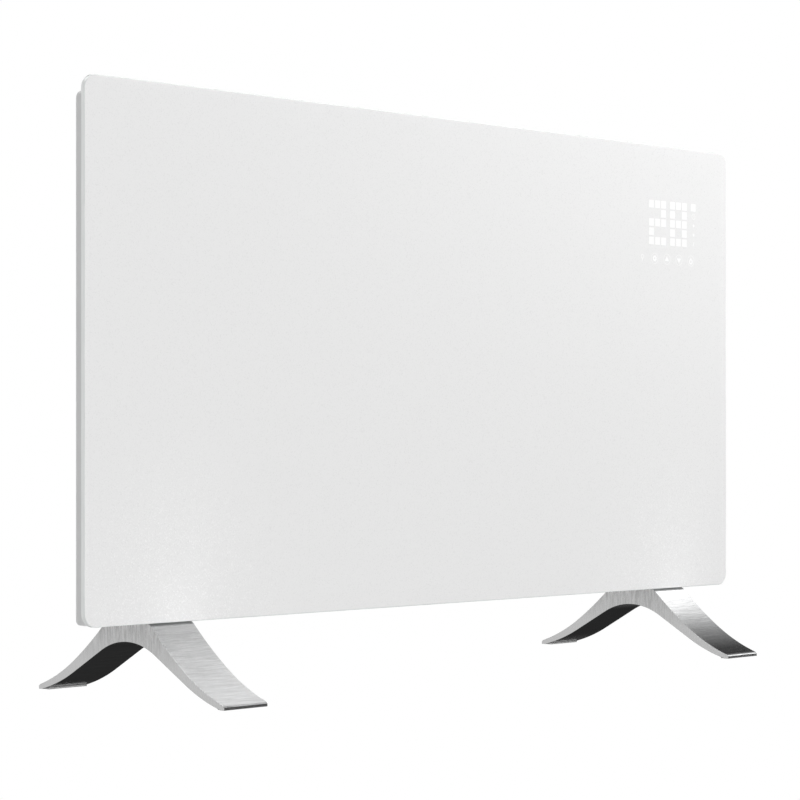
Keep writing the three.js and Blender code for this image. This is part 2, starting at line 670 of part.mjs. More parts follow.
function outletGrille() {
  const neckHalf = grilleLength / 2 - SEAT_GAP;
  const neckHigh = GRILLE_HEIGHT / 2 - SEAT_GAP;
  const flangeTop = SEAT_GAP + GRILLE_FLANGE_THICKNESS;
  const slab = (margin, low, top) => block(
    [-neckHalf - margin, -neckHigh - margin, low], [neckHalf + margin, neckHigh + margin, top]);
  const frame = slab(GRILLE_FLANGE, SEAT_GAP, flangeTop)
    .add(slab(0, -GRILLE_NECK_DEPTH, flangeTop))
    .subtract(slab(-GRILLE_WALL, -GRILLE_NECK_DEPTH - 1, flangeTop + 1));
  const openHeight = 2 * (neckHigh - GRILLE_WALL);
  const inside = neckHalf - GRILLE_WALL / 2;
  const louvres = Array.from({ length: LOUVRE_COUNT }, (_, i) => {
    const geometry = new THREE.BoxGeometry(2 * inside, LOUVRE_WIDTH, LOUVRE_THICKNESS);
    geometry.rotateX(-LOUVRE_TILT * degrees);
    geometry.translate(
      0,
      openHeight * ((i + 0.5) / LOUVRE_COUNT - 0.5),
      flangeTop - LOUVRE_WIDTH / 2 * Math.sin(LOUVRE_TILT * degrees) - LOUVRE_THICKNESS / 2,
    );
    return toSolid(geometry);
  });
  const ribs = fitted(2 * (inside - GRILLE_RIB_PITCH / 2), GRILLE_RIB_PITCH).map((x) => block(
    [x - GRILLE_RIB_THICKNESS / 2, -neckHigh + GRILLE_WALL / 2, -GRILLE_NECK_DEPTH],
    [x + GRILLE_RIB_THICKNESS / 2, neckHigh - GRILLE_WALL / 2, -GRILLE_NECK_DEPTH + GRILLE_RIB_DEPTH],
  ));
  return ontoShoulder(joined([frame, ...louvres, ...ribs]));
}

function casingScrew() {
  const underHead = SEAT_GAP;
  const top = underHead + CASING_SCREW_HEAD_HEIGHT;
  return turned('y', [
    [0, -CASING_SCREW_LENGTH],
    [CASING_SCREW_RADIUS, -CASING_SCREW_LENGTH],
    [CASING_SCREW_RADIUS, underHead],
    [CASING_SCREW_HEAD_RADIUS, underHead],
    [CASING_SCREW_HEAD_RADIUS * 0.92, underHead + CASING_SCREW_HEAD_HEIGHT * 0.6],
    [CASING_SCREW_HEAD_RADIUS * 0.6, top],
    [0, top],
  ], 10);
}

function addBody() {
  place(heater, 'front_glass', frontGlass(), satinGlass);
  place(heater, 'glass_gasket', glassGasket(), greyRubber);
  place(heater, 'chassis_plate', chassisPlate(), zincSteel);
  place(heater, 'rear_casing', rearCasing(), whitePaint);
  place(heater, 'outlet_grille', outletGrille(), whitePlastic);
  postPlaces().forEach(([x, z], i) => {
    place(heater, `casing_screw_${i + 1}`, casingScrew(), zincSteel, [x, wallOuterY, z]);
  });
}

// ---------------------------------------------------------------- arched feet

// The front half of a foot's side outline as [y, z] points, y from the middle to the tip.
// Each slope runs from a corner to a knee, and curves of equal reach round them off.
function footHalfOutline() {
  const tip = FOOT_SPAN / 2;
  const topCorner = new THREE.Vector2(FOOT_TOP_LENGTH / 2, FOOT_HEIGHT);
  const knee = new THREE.Vector2(tip - FOOT_KNEE_SETBACK, FOOT_KNEE_HEIGHT);
  const toeEnd = new THREE.Vector2(tip - FOOT_TOE_CHAMFER, FOOT_TOE_HEIGHT);
  const outerFall = knee.clone().sub(topCorner).normalize();
  const toeStart = knee.clone().addScaledVector(outerFall, -knee.distanceTo(toeEnd));

  const crownCorner = new THREE.Vector2(ARCH_CROWN_RUN, ARCH_HEIGHT);
  const archKnee = new THREE.Vector2(tip - ARCH_KNEE_SETBACK, ARCH_KNEE_HEIGHT);
  const archEnd = new THREE.Vector2(tip - ARCH_END_SETBACK, ARCH_END_HEIGHT);
  const archFall = archKnee.clone().sub(crownCorner).normalize();
  const crownEnd = crownCorner.clone().addScaledVector(archFall, ARCH_CROWN_RUN);
  const archToe = archKnee.clone().addScaledVector(archFall, -archKnee.distanceTo(archEnd));
  const soleShare = (ARCH_KNEE_HEIGHT - PAD_PROUD) / (ARCH_KNEE_HEIGHT - ARCH_END_HEIGHT);
  const soleStart = archKnee.clone().lerp(archEnd, soleShare);

  const bendEnd = topCorner.clone().addScaledVector(outerFall, FOOT_TOP_BEND);
  const outline = new THREE.Path();
  outline.moveTo(topCorner.x - FOOT_TOP_BEND, FOOT_HEIGHT);
  outline.quadraticCurveTo(...topCorner, ...bendEnd);
  outline.lineTo(...toeStart);
  outline.quadraticCurveTo(...knee, ...toeEnd);
  outline.lineTo(tip, FOOT_TOE_HEIGHT - FOOT_TOE_CHAMFER);
  outline.lineTo(tip, PAD_PROUD);
  outline.lineTo(...soleStart);
  outline.lineTo(...archEnd);
  outline.quadraticCurveTo(...archKnee, ...archToe);
  outline.lineTo(...crownEnd);
  outline.quadraticCurveTo(...crownCorner, 0, ARCH_HEIGHT);
  return outline.getPoints(CURVE_STEPS);
}

function foot() {
  const half = footHalfOutline();
  const mirrored = half.slice(0, -1).reverse().map((point) => new THREE.Vector2(-point.x, point.y));
  const softening = FOOT_EDGE_SOFTENING;
  const geometry = new THREE.ExtrudeGeometry(new THREE.Shape([...half, ...mirrored]), {
    depth: FOOT_WIDTH - 2 * softening,
    bevelThickness: softening,
    bevelSize: softening,
    bevelOffset: -softening,
    bevelSegments: 1,
  });
  geometry.translate(0, 0, -FOOT_WIDTH / 2 + softening);
  const bores = [-1, 1].flatMap((end) => {
    const place = [0, end * FOOT_SCREW_SPACING / 2];
    return [
      rod('z', FOOT_SCREW_RADIUS + SCREW_CLEARANCE, 0, FOOT_HEIGHT + 1, place, 12),
      rod('z', FOOT_SCREW_HEAD_RADIUS + SCREW_CLEARANCE, 0, FOOT_SCREW_SEAT_HEIGHT, place),
    ];
  });
  const pockets = [-1, 1].map(padPocket);
  return toSolid(along('x', geometry)).subtract(joined([...bores, ...pockets]));
}

// The pad's pocket in the sole, closed at the tip and the sides and open towards the arch.
function padPocket(end) {
  const half = FOOT_WIDTH / 2 - PAD_SIDE_MARGIN + SEAT_GAP;
  const inner = end * (FOOT_SPAN / 2 - ARCH_END_SETBACK);
  const outer = end * (FOOT_SPAN / 2 - FOOT_LIP);
  return block(
    [-half, Math.min(inner, outer), 0], [half, Math.max(inner, outer), PAD_THICKNESS + SEAT_GAP]);
}

function footPad() {
  const half = FOOT_WIDTH / 2 - PAD_SIDE_MARGIN;
  const shape = rectangle([0, 0], 2 * half, PAD_LENGTH, 1.5, 2);
  return extruded('z', shape, 0, PAD_THICKNESS);
}

function nutPlate() {
  const shape = rectangle([0, 0], NUT_PLATE_WIDTH, NUT_PLATE_LENGTH, 3, 3);
  const bores = [-1, 1].map((end) => rod(
    'z', FOOT_SCREW_RADIUS + SCREW_CLEARANCE, -1, NUT_PLATE_THICKNESS + 1,
    [0, end * FOOT_SCREW_SPACING / 2], 10));
  return extruded('z', shape, 0, NUT_PLATE_THICKNESS).subtract(joined(bores));
}

function footScrew() {
  const headTop = FOOT_SCREW_SEAT_HEIGHT - SEAT_GAP;
  const headBottom = headTop - FOOT_SCREW_HEAD_HEIGHT;
  const end = casingFloorZ + SEAT_GAP + NUT_PLATE_THICKNESS + FOOT_SCREW_RUNOUT;
  const body = rod('z', FOOT_SCREW_HEAD_RADIUS, headBottom, headTop, [0, 0], 14)
    .add(rod('z', FOOT_SCREW_RADIUS, headTop - 1, end, [0, 0], 10));
  return body.subtract(rod(
    'z', FOOT_SCREW_SOCKET, headBottom - 1, headBottom + FOOT_SCREW_SOCKET_DEPTH, [0, 0], 6));
}

function addFeet() {
  const padMiddleY = FOOT_SPAN / 2 - FOOT_LIP - SEAT_GAP - PAD_LENGTH / 2;
  for (const [side, label] of [[-1, 'left'], [1, 'right']]) {
    const leg = new THREE.Group();
    leg.position.x = side * footMiddleX;
    heater.add(leg);
    place(leg, `foot_${label}`, foot(), brushedMetal);
    place(leg, `foot_nut_plate_${label}`, nutPlate(), zincSteel, [0, 0, casingFloorZ + SEAT_GAP]);
    for (const [end, where] of [[-1, 'front'], [1, 'rear']]) {
      place(leg, `foot_pad_${label}_${where}`, footPad(), greyRubber, [0, end * padMiddleY, 0]);
      const screwPlace = [0, end * FOOT_SCREW_SPACING / 2, 0];
      place(leg, `foot_screw_${label}_${where}`, footScrew(), zincSteel, screwPlace);
    }
  }
}

// ---------------------------------------------------------------- heating elements

const elementAxisY = glassFrontY + ELEMENT_DEPTH;
const boxRightX = glassHalf - BOX_SIDE_INSET;
const boxLeftX = boxRightX - BOX_WIDTH;
const elementLeftX = -glassHalf + ELEMENT_SIDE_INSET;
const elementRightX = boxLeftX - ELEMENT_BOX_CLEARANCE;
const elementMiddleX = (elementLeftX + elementRightX) / 2;
const elementHalf = (elementRightX - elementLeftX) / 2;
const elementHeights = [0, 1].map((i) => casingBottomZ + ELEMENT_LOW_HEIGHT + i * ELEMENT_PITCH);
const bracketInnerReach = INSULATOR_COLLAR_LENGTH + 2 * SEAT_GAP; // beyond an element's end

// One edge of a finned arm, from the hub to the tip, as [along, across] pairs.
function armEdge(side) {
  const half = FIN_ARM_THICKNESS / 2;
  const rootU = Math.sqrt(FIN_HUB_RADIUS ** 2 - half ** 2);
  const points = [[rootU, side * half]];
  for (let rib = 0; rib < FIN_RIBS; rib++) {
    const tip = FIN_ARM_LENGTH - (FIN_RIBS - 1 - rib) * FIN_RIB_PITCH;
    const root = tip - FIN_RIB_THICKNESS;
    const crest = side * (half + FIN_RIB_LENGTH);
    points.push([root, side * half], [root, crest], [tip, crest]);
    if (rib < FIN_RIBS - 1) points.push([tip, side * half]);
  }
  return points;
}

function finSection() {
  const angles = [FIN_ARM_ANGLE, 180 - FIN_ARM_ANGLE, 180 + FIN_ARM_ANGLE, 360 - FIN_ARM_ANGLE];
  const points = [];
  angles.forEach((angle, i) => {
    const turn = angle * degrees;
    const arm = [...armEdge(-1), ...armEdge(1).reverse()];
    for (const [u, v] of arm) {
      points.push(new THREE.Vector2(
        u * Math.cos(turn) - v * Math.sin(turn), u * Math.sin(turn) + v * Math.cos(turn)));
    }
    const nextAngle = i + 1 < angles.length ? angles[i + 1] : angles[0] + 360;
    const middle = (angle + nextAngle) / 2 * degrees;
    points.push(new THREE.Vector2(
      FIN_HUB_RADIUS * Math.cos(middle), FIN_HUB_RADIUS * Math.sin(middle)));
  });
  const section = new THREE.Shape(points);
  section.holes.push(circle([0, 0], ROD_RADIUS + SEAT_GAP));
  return section;
}

function finnedProfile() {
  return extruded('x', finSection(), -elementHalf, elementHalf, 8);
}

function sheathRod() {
  const shoulder = elementHalf + ROD_END;
  const end = shoulder + ROD_PIN_LENGTH;
  return turned('x', [
    [0, -end],
    [ROD_PIN_RADIUS, -end],
    [ROD_PIN_RADIUS, -shoulder],
    [ROD_RADIUS, -shoulder],
    [ROD_RADIUS, shoulder],
    [ROD_PIN_RADIUS, shoulder],
    [ROD_PIN_RADIUS, end],
    [0, end],
  ], 12);
}

// A ceramic bush with its collar against the profile and its neck through the bracket.
function endInsulator(side) {
  const bore = ROD_RADIUS + SEAT_GAP;
  const collarEnd = SEAT_GAP + INSULATOR_COLLAR_LENGTH;
  const neckEnd = collarEnd + INSULATOR_NECK_LENGTH;
  const profile = [
    [bore, SEAT_GAP],
    [INSULATOR_COLLAR_RADIUS, SEAT_GAP],
    [INSULATOR_COLLAR_RADIUS, collarEnd],
    [INSULATOR_NECK_RADIUS, collarEnd],
    [INSULATOR_NECK_RADIUS, neckEnd],
    [bore, neckEnd],
    [bore, SEAT_GAP],
  ];
  const bush = turned('x', profile, 14);
  return side > 0 ? bush : bush.rotate([0, 0, 180]);
}

function elementBracket(side) {
  const lowZ = elementHeights[0] - BRACKET_MARGIN;
  const highZ = elementHeights[1] + BRACKET_MARGIN;
  const middle = [seatOnChassisY + BRACKET_DEPTH / 2, (lowZ + highZ) / 2];
  const web = rectangle(middle, BRACKET_DEPTH, highZ - lowZ, 2, 2);
  for (const z of elementHeights) {
    web.holes.push(circle([elementAxisY, z], INSULATOR_NECK_RADIUS + SEAT_GAP));
  }
  const elementEnd = side > 0 ? elementRightX : elementLeftX;
  const inner = elementEnd + side * bracketInnerReach;
  const outer = inner + side * BRACKET_SHEET;
  const flangeEnd = inner + side * BRACKET_FLANGE;
  const flange = block(
    [Math.min(inner, flangeEnd), seatOnChassisY, lowZ],
    [Math.max(inner, flangeEnd), seatOnChassisY + BRACKET_SHEET, highZ],
  );
  return extruded('x', web, Math.min(inner, outer), Math.max(inner, outer), 8).add(flange);
}

function heatShield() {
  const lowZ = elementHeights[0] - SHIELD_MARGIN;
  const highZ = elementHeights[1] + SHIELD_MARGIN;
  const frontY = seatOnChassisY;
  const faceY = frontY + SHIELD_STANDOFF;
  const outline = [
    [frontY, lowZ], [faceY + SHIELD_SHEET, lowZ], [faceY + SHIELD_SHEET, highZ],
    [frontY, highZ], [frontY, highZ - SHIELD_SHEET], [faceY, highZ - SHIELD_SHEET],
    [faceY, lowZ + SHIELD_SHEET], [frontY, lowZ + SHIELD_SHEET],
  ];
  const shape = new THREE.Shape(outline.map(([y, z]) => new THREE.Vector2(y, z)));
  return extruded('x', shape, elementLeftX + SHIELD_END_GAP, elementRightX - SHIELD_END_GAP);
}

// A sheet that rises from the chassis and curves back, so that warm air clears the glass.
function outletDeflector() {
  const topZ = glassTopZ - DEFLECTOR_TOP_INSET;
  const bendZ = topZ - DEFLECTOR_RISE;
  const backY = seatOnChassisY + DEFLECTOR_REACH;
  const sheet = DEFLECTOR_SHEET;
  const shape = new THREE.Shape();
  shape.moveTo(seatOnChassisY, bendZ - DEFLECTOR_TAB);
  shape.lineTo(seatOnChassisY + sheet, bendZ - DEFLECTOR_TAB);
  shape.lineTo(seatOnChassisY + sheet, bendZ);
  shape.quadraticCurveTo(seatOnChassisY + sheet, topZ - DEFLECTOR_REACH, backY, topZ - sheet);
  shape.lineTo(backY - sheet, topZ);
  shape.quadraticCurveTo(seatOnChassisY, topZ - DEFLECTOR_REACH, seatOnChassisY, bendZ);
  return extruded(
    'x', shape, elementLeftX - DEFLECTOR_OVERHANG, elementRightX + DEFLECTOR_OVERHANG, 6);
}

// Built about its middle on the chassis plate, as the room sensor is.
function thermalCutout() {
  const tab = block(
    [-CUTOUT_TAB_LENGTH / 2, 0, -CUTOUT_TAB_HEIGHT / 2],
    [CUTOUT_TAB_LENGTH / 2, CUTOUT_TAB_SHEET, CUTOUT_TAB_HEIGHT / 2],
  );
  const blades = [-1, 1].map((side) => {
    const x = side * CUTOUT_RADIUS / 2;
    return block(
      [x - CUTOUT_BLADE_THICKNESS / 2, 0, -CUTOUT_BLADE_WIDTH / 2],
      [x + CUTOUT_BLADE_THICKNESS / 2, CUTOUT_DEPTH + CUTOUT_BLADE_WIDTH, CUTOUT_BLADE_WIDTH / 2],
    );
  });
  return joined([tab, rod('y', CUTOUT_RADIUS, 0, CUTOUT_DEPTH), ...blades]);
}

function roomSensor() {
  const holder = block(
    [-SENSOR_BASE / 2, 0, -SENSOR_BASE / 2],
    [SENSOR_BASE / 2, SENSOR_BASE_DEPTH, SENSOR_BASE / 2],
  );
  const bead = turned('z', [
    [0, -SENSOR_LENGTH],
    [SENSOR_RADIUS * 0.7, -SENSOR_LENGTH + SENSOR_RADIUS * 0.25],
    [SENSOR_RADIUS, -SENSOR_LENGTH + SENSOR_RADIUS * 0.8],
    [SENSOR_RADIUS, 0],
    [0, 0],
  ], 12).translate([0, SENSOR_BASE_DEPTH / 2, 0]);
  return holder.add(bead);
}

function addElements() {
  elementHeights.forEach((z, i) => {
    const middle = [elementMiddleX, elementAxisY, z];
    const label = ['lower', 'upper'][i];
    place(heater, `finned_element_${label}`, finnedProfile(), aluminium, middle);
    place(heater, `sheath_rod_${label}`, sheathRod(), zincSteel, middle);
    for (const [side, where, x] of [[-1, 'left', elementLeftX], [1, 'right', elementRightX]]) {
      const name = `end_insulator_${label}_${where}`;
      place(heater, name, endInsulator(side), ceramic, [x, elementAxisY, z]);
    }
  });
  place(heater, 'element_bracket_left', elementBracket(-1), zincSteel);
  place(heater, 'element_bracket_right', elementBracket(1), zincSteel);
  place(heater, 'heat_shield', heatShield(), aluminium);
  place(heater, 'outlet_deflector', outletDeflector(), zincSteel);
  const cutoutPlace = [elementRightX - CUTOUT_INSET, seatOnChassisY, elementHeights[1] + CUTOUT_RISE];
  place(heater, 'thermal_cutout', thermalCutout(), darkPlastic, cutoutPlace);
  const sensorPlace = [elementRightX + SENSOR_CLEARANCE, seatOnChassisY, casingBottomZ + SENSOR_HEIGHT];
  place(heater, 'room_sensor', roomSensor(), darkPlastic, sensorPlace);
}

// ---------------------------------------------------------------- control box

const boxMiddleX = (boxLeftX + boxRightX) / 2;
const boxLowZ = casingBottomZ + BOX_BASE_HEIGHT;
const boxTopZ = postHighZ - BOX_POST_CLEARANCE;
const boxHeight = boxTopZ - boxLowZ;
const boxMiddle = [boxMiddleX, (boxLowZ + boxTopZ) / 2];
const boxMouthY = seatOnChassisY + BOX_DEPTH;
const boardFrontY = seatOnChassisY + BOX_WALL + BOARD_POST_HEIGHT + SEAT_GAP;
const boardBackY = boardFrontY + BOARD_THICKNESS;
const onBoardY = boardBackY + SEAT_GAP;
const leadEntryHeights = [0, 1].map((i) => boxLowZ + LEAD_ENTRY_RISE + i * LEAD_ENTRY_PITCH);

function controlBoxBase() {
  const outer = rectangle(boxMiddle, BOX_WIDTH, boxHeight, BOX_CORNER_RADIUS, 3);
  const inner = rectangle(
    boxMiddle, BOX_WIDTH - 2 * BOX_WALL, boxHeight - 2 * BOX_WALL, BOX_CORNER_RADIUS - BOX_WALL, 3);
  const floorY = seatOnChassisY + BOX_WALL;
  const postX = BOX_WIDTH / 2 - BOX_WALL - BOARD_POST_INSET;
  const postZ = boxHeight / 2 - BOX_WALL - BOARD_POST_INSET;
  const posts = [[-1, -1], [1, -1], [1, 1], [-1, 1]].map(([sideX, sideZ]) => rod(
    'y', BOARD_POST_RADIUS, floorY - 1, floorY + BOARD_POST_HEIGHT,
    [boxMiddle[0] + sideX * postX, boxMiddle[1] + sideZ * postZ], 8));
  const leadHoles = leadEntryHeights.map((z) => rod(
    'x', LEAD_HOLE_RADIUS, boxLeftX - 1, boxLeftX + BOX_WALL + 1, [elementAxisY, z], 8));
  return extruded('y', outer, seatOnChassisY, boxMouthY)
    .subtract(extruded('y', inner, floorY, boxMouthY + 1))
    .add(joined(posts))
    .subtract(joined(leadHoles));
}

function controlBoxCover() {
  const clearance = BOX_WALL + SEAT_GAP;
  const lid = rectangle(boxMiddle, BOX_WIDTH, boxHeight, BOX_CORNER_RADIUS, 3);
  const lip = (inset) => rectangle(
    boxMiddle, BOX_WIDTH - 2 * inset, boxHeight - 2 * inset, 1.5, 2);
  const lipShape = lip(clearance);
  lipShape.holes.push(lip(clearance + BOX_WALL));
  const lidY = boxMouthY + SEAT_GAP;
  return extruded('y', lid, lidY, lidY + BOX_LID_THICKNESS)
    .add(extruded('y', lipShape, boxMouthY - BOX_LID_LIP, lidY + BOX_LID_THICKNESS / 2));
}

function powerBoard() {
  const inset = BOX_WALL + BOARD_MARGIN;
  const shape = rectangle(boxMiddle, BOX_WIDTH - 2 * inset, boxHeight - 2 * inset, 2, 2);
  return extruded('y', shape, boardFrontY, boardBackY);
}

// A component of [width, depth, height] with its foot on the board, placed by its middle.
function boardComponent([width, depth, height], radius = 1) {
  return extruded('y', rectangle([0, 0], width, height, radius, 2), 0, depth);
}

function terminalBlock() {
  const [width, depth, height] = TERMINAL_SIZE;
  const pitch = width / TERMINAL_WAYS;
  const screws = Array.from({ length: TERMINAL_WAYS }, (_, i) => rod(
    'y', TERMINAL_HOLE_RADIUS, depth - TERMINAL_HOLE_DEPTH, depth + 1,
    [pitch * (i + 0.5) - width / 2, 0], 8));
  const barrierHalf = TERMINAL_BARRIER_THICKNESS / 2;
  const barriers = Array.from({ length: TERMINAL_WAYS - 1 }, (_, i) => {
    const x = pitch * (i + 1) - width / 2;
    return block(
      [x - barrierHalf, depth - 1, -height / 2 + barrierHalf],
      [x + barrierHalf, depth + TERMINAL_BARRIER_RISE, height / 2 - barrierHalf],
    );
  });
  return joined([boardComponent(TERMINAL_SIZE), ...barriers]).subtract(joined(screws));
}

function addControls() {
  place(heater, 'control_box_base', controlBoxBase(), darkPlastic);
  place(heater, 'control_box_cover', controlBoxCover(), darkPlastic);
  place(heater, 'power_board', powerBoard(), circuitBoard);
  const [relayWidth, , relayHeight] = RELAY_SIZE;
  const edge = BOX_WALL + BOARD_MARGIN + COMPONENT_MARGIN;
  [0, 1].forEach((i) => {
    const x = boxLeftX + edge + relayWidth / 2 + i * RELAY_PITCH;
    const z = boxTopZ - edge - relayHeight / 2;
    place(heater, `relay_${i + 1}`, boardComponent(RELAY_SIZE), redLead, [x, onBoardY, z]);
  });
  const supplyX = boxLeftX + edge + POWER_SUPPLY_SIZE[0] / 2;
  const supplyZ = boxMiddle[1] - POWER_SUPPLY_DROP;
  const supply = boardComponent(POWER_SUPPLY_SIZE);
  place(heater, 'power_supply', supply, darkPlastic, [supplyX, onBoardY, supplyZ]);
  const terminalZ = boxLowZ + edge + TERMINAL_SIZE[2] / 2;
  place(heater, 'terminal_block', terminalBlock(), whitePlastic, [boxMiddleX, onBoardY, terminalZ]);
}

// ---------------------------------------------------------------- display

const filmFrontY = glassBackY + SEAT_GAP;
const filmBackY = filmFrontY + TOUCH_FILM_THICKNESS;
const guideFrontY = filmBackY + SEAT_GAP;
const guideBackY = seatOnChassisY + LIGHT_GUIDE_FLANGE_THICKNESS;
const displayBoardY = guideBackY + SEAT_GAP;
const keyRowZ = displayTopZ - KEY_TOP_MARGIN;

function lightWells() {
  const wells = [];
  const blockTop = displayTopZ - DIGIT_TOP_MARGIN;
  for (let digit = 0; digit < DIGIT_COUNT; digit++) {
    const digitLeft = displayLeftX + DIGIT_LEFT_MARGIN + digit * DIGIT_PITCH;
    for (let column = 0; column < DIGIT_COLUMNS; column++) {
      for (let row = 0; row < DIGIT_ROWS; row++) {
        const left = digitLeft + column * LIGHT_BLOCK_PITCH_X;
        const top = blockTop - row * LIGHT_BLOCK_PITCH_Z;
        wells.push(rectangle([left + LIGHT_BLOCK / 2, top - LIGHT_BLOCK / 2], LIGHT_BLOCK, LIGHT_BLOCK));
      }
    }
  }
  const degree = [displayLeftX + DEGREE_LEFT_MARGIN + LIGHT_BLOCK / 2, blockTop - LIGHT_BLOCK / 2];
  wells.push(rectangle(degree, LIGHT_BLOCK, LIGHT_BLOCK));
  for (let i = 0; i < STATUS_COUNT; i++) {
    const z = displayTopZ - STATUS_TOP_MARGIN - i * STATUS_PITCH;
    wells.push(circle([displayLeftX + STATUS_LEFT_MARGIN, z], STATUS_RADIUS));
  }
  for (let i = 0; i < KEY_COUNT; i++) {
    wells.push(circle([displayLeftX + KEY_LEFT_MARGIN + i * KEY_PITCH, keyRowZ], KEY_RADIUS));
  }
  return wells;
}

function lightGuide() {
  const core = rectangle(displayMiddle, DISPLAY_WIDTH, DISPLAY_HEIGHT, 2, 2);
  const flange = rectangle(
    displayMiddle,
    DISPLAY_WIDTH + 2 * LIGHT_GUIDE_FLANGE,
    DISPLAY_HEIGHT + 2 * LIGHT_GUIDE_FLANGE,
    2, 2,
  );
  const solid = extruded('y', core, guideFrontY, guideBackY)
    .add(extruded('y', flange, seatOnChassisY, guideBackY));
  const cutters = lightWells().map((well) => extruded('y', well, guideFrontY - 1, guideBackY + 1, 4));
  return solid.subtract(joined(cutters));
}

function touchFilm() {
  const middle = [displayMiddle[0], keyRowZ];
  const shape = rectangle(middle, DISPLAY_WIDTH, TOUCH_FILM_HEIGHT, 2, 2);
  return extruded('y', shape, filmFrontY, filmBackY);
}

function displayBoard() {
  const width = DISPLAY_WIDTH + 2 * LIGHT_GUIDE_FLANGE;
  const height = DISPLAY_HEIGHT + 2 * LIGHT_GUIDE_FLANGE;
  const shape = rectangle(displayMiddle, width, height, 2, 2);
  return extruded('y', shape, displayBoardY, displayBoardY + BOARD_THICKNESS);
}

// A flat cable from the back of the display board down to the top of the control box.
function ribbonCable() {
  const boardLowZ = displayBoardLowZ;
  const nearY = displayBoardY + BOARD_THICKNESS + SEAT_GAP;
  const farY = seatOnChassisY + BOX_DEPTH / 2;
  const endZ = boxTopZ + SEAT_GAP;
  const thick = RIBBON_THICKNESS;
  const middleZ = (boardLowZ + endZ) / 2;
  const backZ = middleZ + thick;
  const shape = new THREE.Shape();
  shape.moveTo(nearY, boardLowZ + RIBBON_OVERLAP);
  shape.lineTo(nearY, boardLowZ);
  shape.bezierCurveTo(nearY, middleZ, farY, middleZ, farY, endZ);
  shape.lineTo(farY + thick, endZ);
  shape.bezierCurveTo(farY + thick, backZ, nearY + thick, backZ, nearY + thick, boardLowZ);
  shape.lineTo(nearY + thick, boardLowZ + RIBBON_OVERLAP);
  return extruded('x', shape, boxMiddleX - RIBBON_WIDTH / 2, boxMiddleX + RIBBON_WIDTH / 2, 8);
}

function addDisplay() {
  place(heater, 'display_light_guide', lightGuide(), whitePlastic);
  place(heater, 'touch_film', touchFilm(), darkPlastic);
  place(heater, 'display_board', displayBoard(), circuitBoard);
  place(heater, 'ribbon_cable', ribbonCable(), greyRubber);
}

// ---------------------------------------------------------------- tip-over switch

const tipMiddleX = glassHalf - TIP_SIDE_INSET;
const tipPivotZ = casingBottomZ + TIP_PIVOT_HEIGHT;
const tipReach = TIP_ARM_LENGTH + TIP_WEIGHT_RADIUS;
const tipSideReach = TIP_ARM_LENGTH * Math.sin(TIP_SWING * degrees) + TIP_WEIGHT_RADIUS;
const tipPivotY = seatOnChassisY + TIP_CHEEK + tipSideReach + TIP_BACK_CLEARANCE;
const tipHalfWidth = TIP_WEIGHT_LENGTH / 2 + FIT_GAP;

function tipSwitchHousing() {
  const lowZ = tipPivotZ - tipReach - TIP_MARGIN;
  const highZ = tipPivotZ + TIP_MARGIN;
  const backY = tipPivotY + TIP_MARGIN;
  const outerHalf = tipHalfWidth + TIP_CHEEK;
  const whole = block(
    [tipMiddleX - outerHalf, seatOnChassisY, lowZ],
    [tipMiddleX + outerHalf, backY, highZ],
  );
  const hollow = block(
    [tipMiddleX - tipHalfWidth, seatOnChassisY + TIP_CHEEK, lowZ - 1],
    [tipMiddleX + tipHalfWidth, backY + 1, highZ + 1],
  );
  const pinHole = rod(
    'x', TIP_PIN_RADIUS + SEAT_GAP, tipMiddleX - outerHalf - 1, tipMiddleX + outerHalf + 1,
    [tipPivotY, tipPivotZ], 16);
  return whole.subtract(hollow).subtract(pinHole);
}

// The pendulum is built about its pivot.
function tipSwitchPendulum() {
  const pinHalf = tipHalfWidth + TIP_CHEEK;
  const arm = block(
    [-TIP_ARM_WIDTH / 2, -TIP_ARM_WIDTH / 2, -TIP_ARM_LENGTH],
    [TIP_ARM_WIDTH / 2, TIP_ARM_WIDTH / 2, TIP_ARM_WIDTH],
  );
  return joined([
    arm,
    rod('x', TIP_PIN_RADIUS, -pinHalf, pinHalf, [0, 0], 16),
    rod('x', TIP_WEIGHT_RADIUS, -TIP_WEIGHT_LENGTH / 2, TIP_WEIGHT_LENGTH / 2, [0, -TIP_ARM_LENGTH], 20),
  ]);
}

// ---------------------------------------------------------------- mains switch

const rockerPivotX = rimOuterX + SEAT_GAP + SWITCH_BEZEL_THICKNESS - ROCKER_DISH / 2;
const rockerHalfWidth = SWITCH_BODY_WIDTH / 2 - SWITCH_WALL - SEAT_GAP;
const rockerSweep = Math.hypot(ROCKER_HALF_HEIGHT, ROCKER_FACE) + SEAT_GAP;

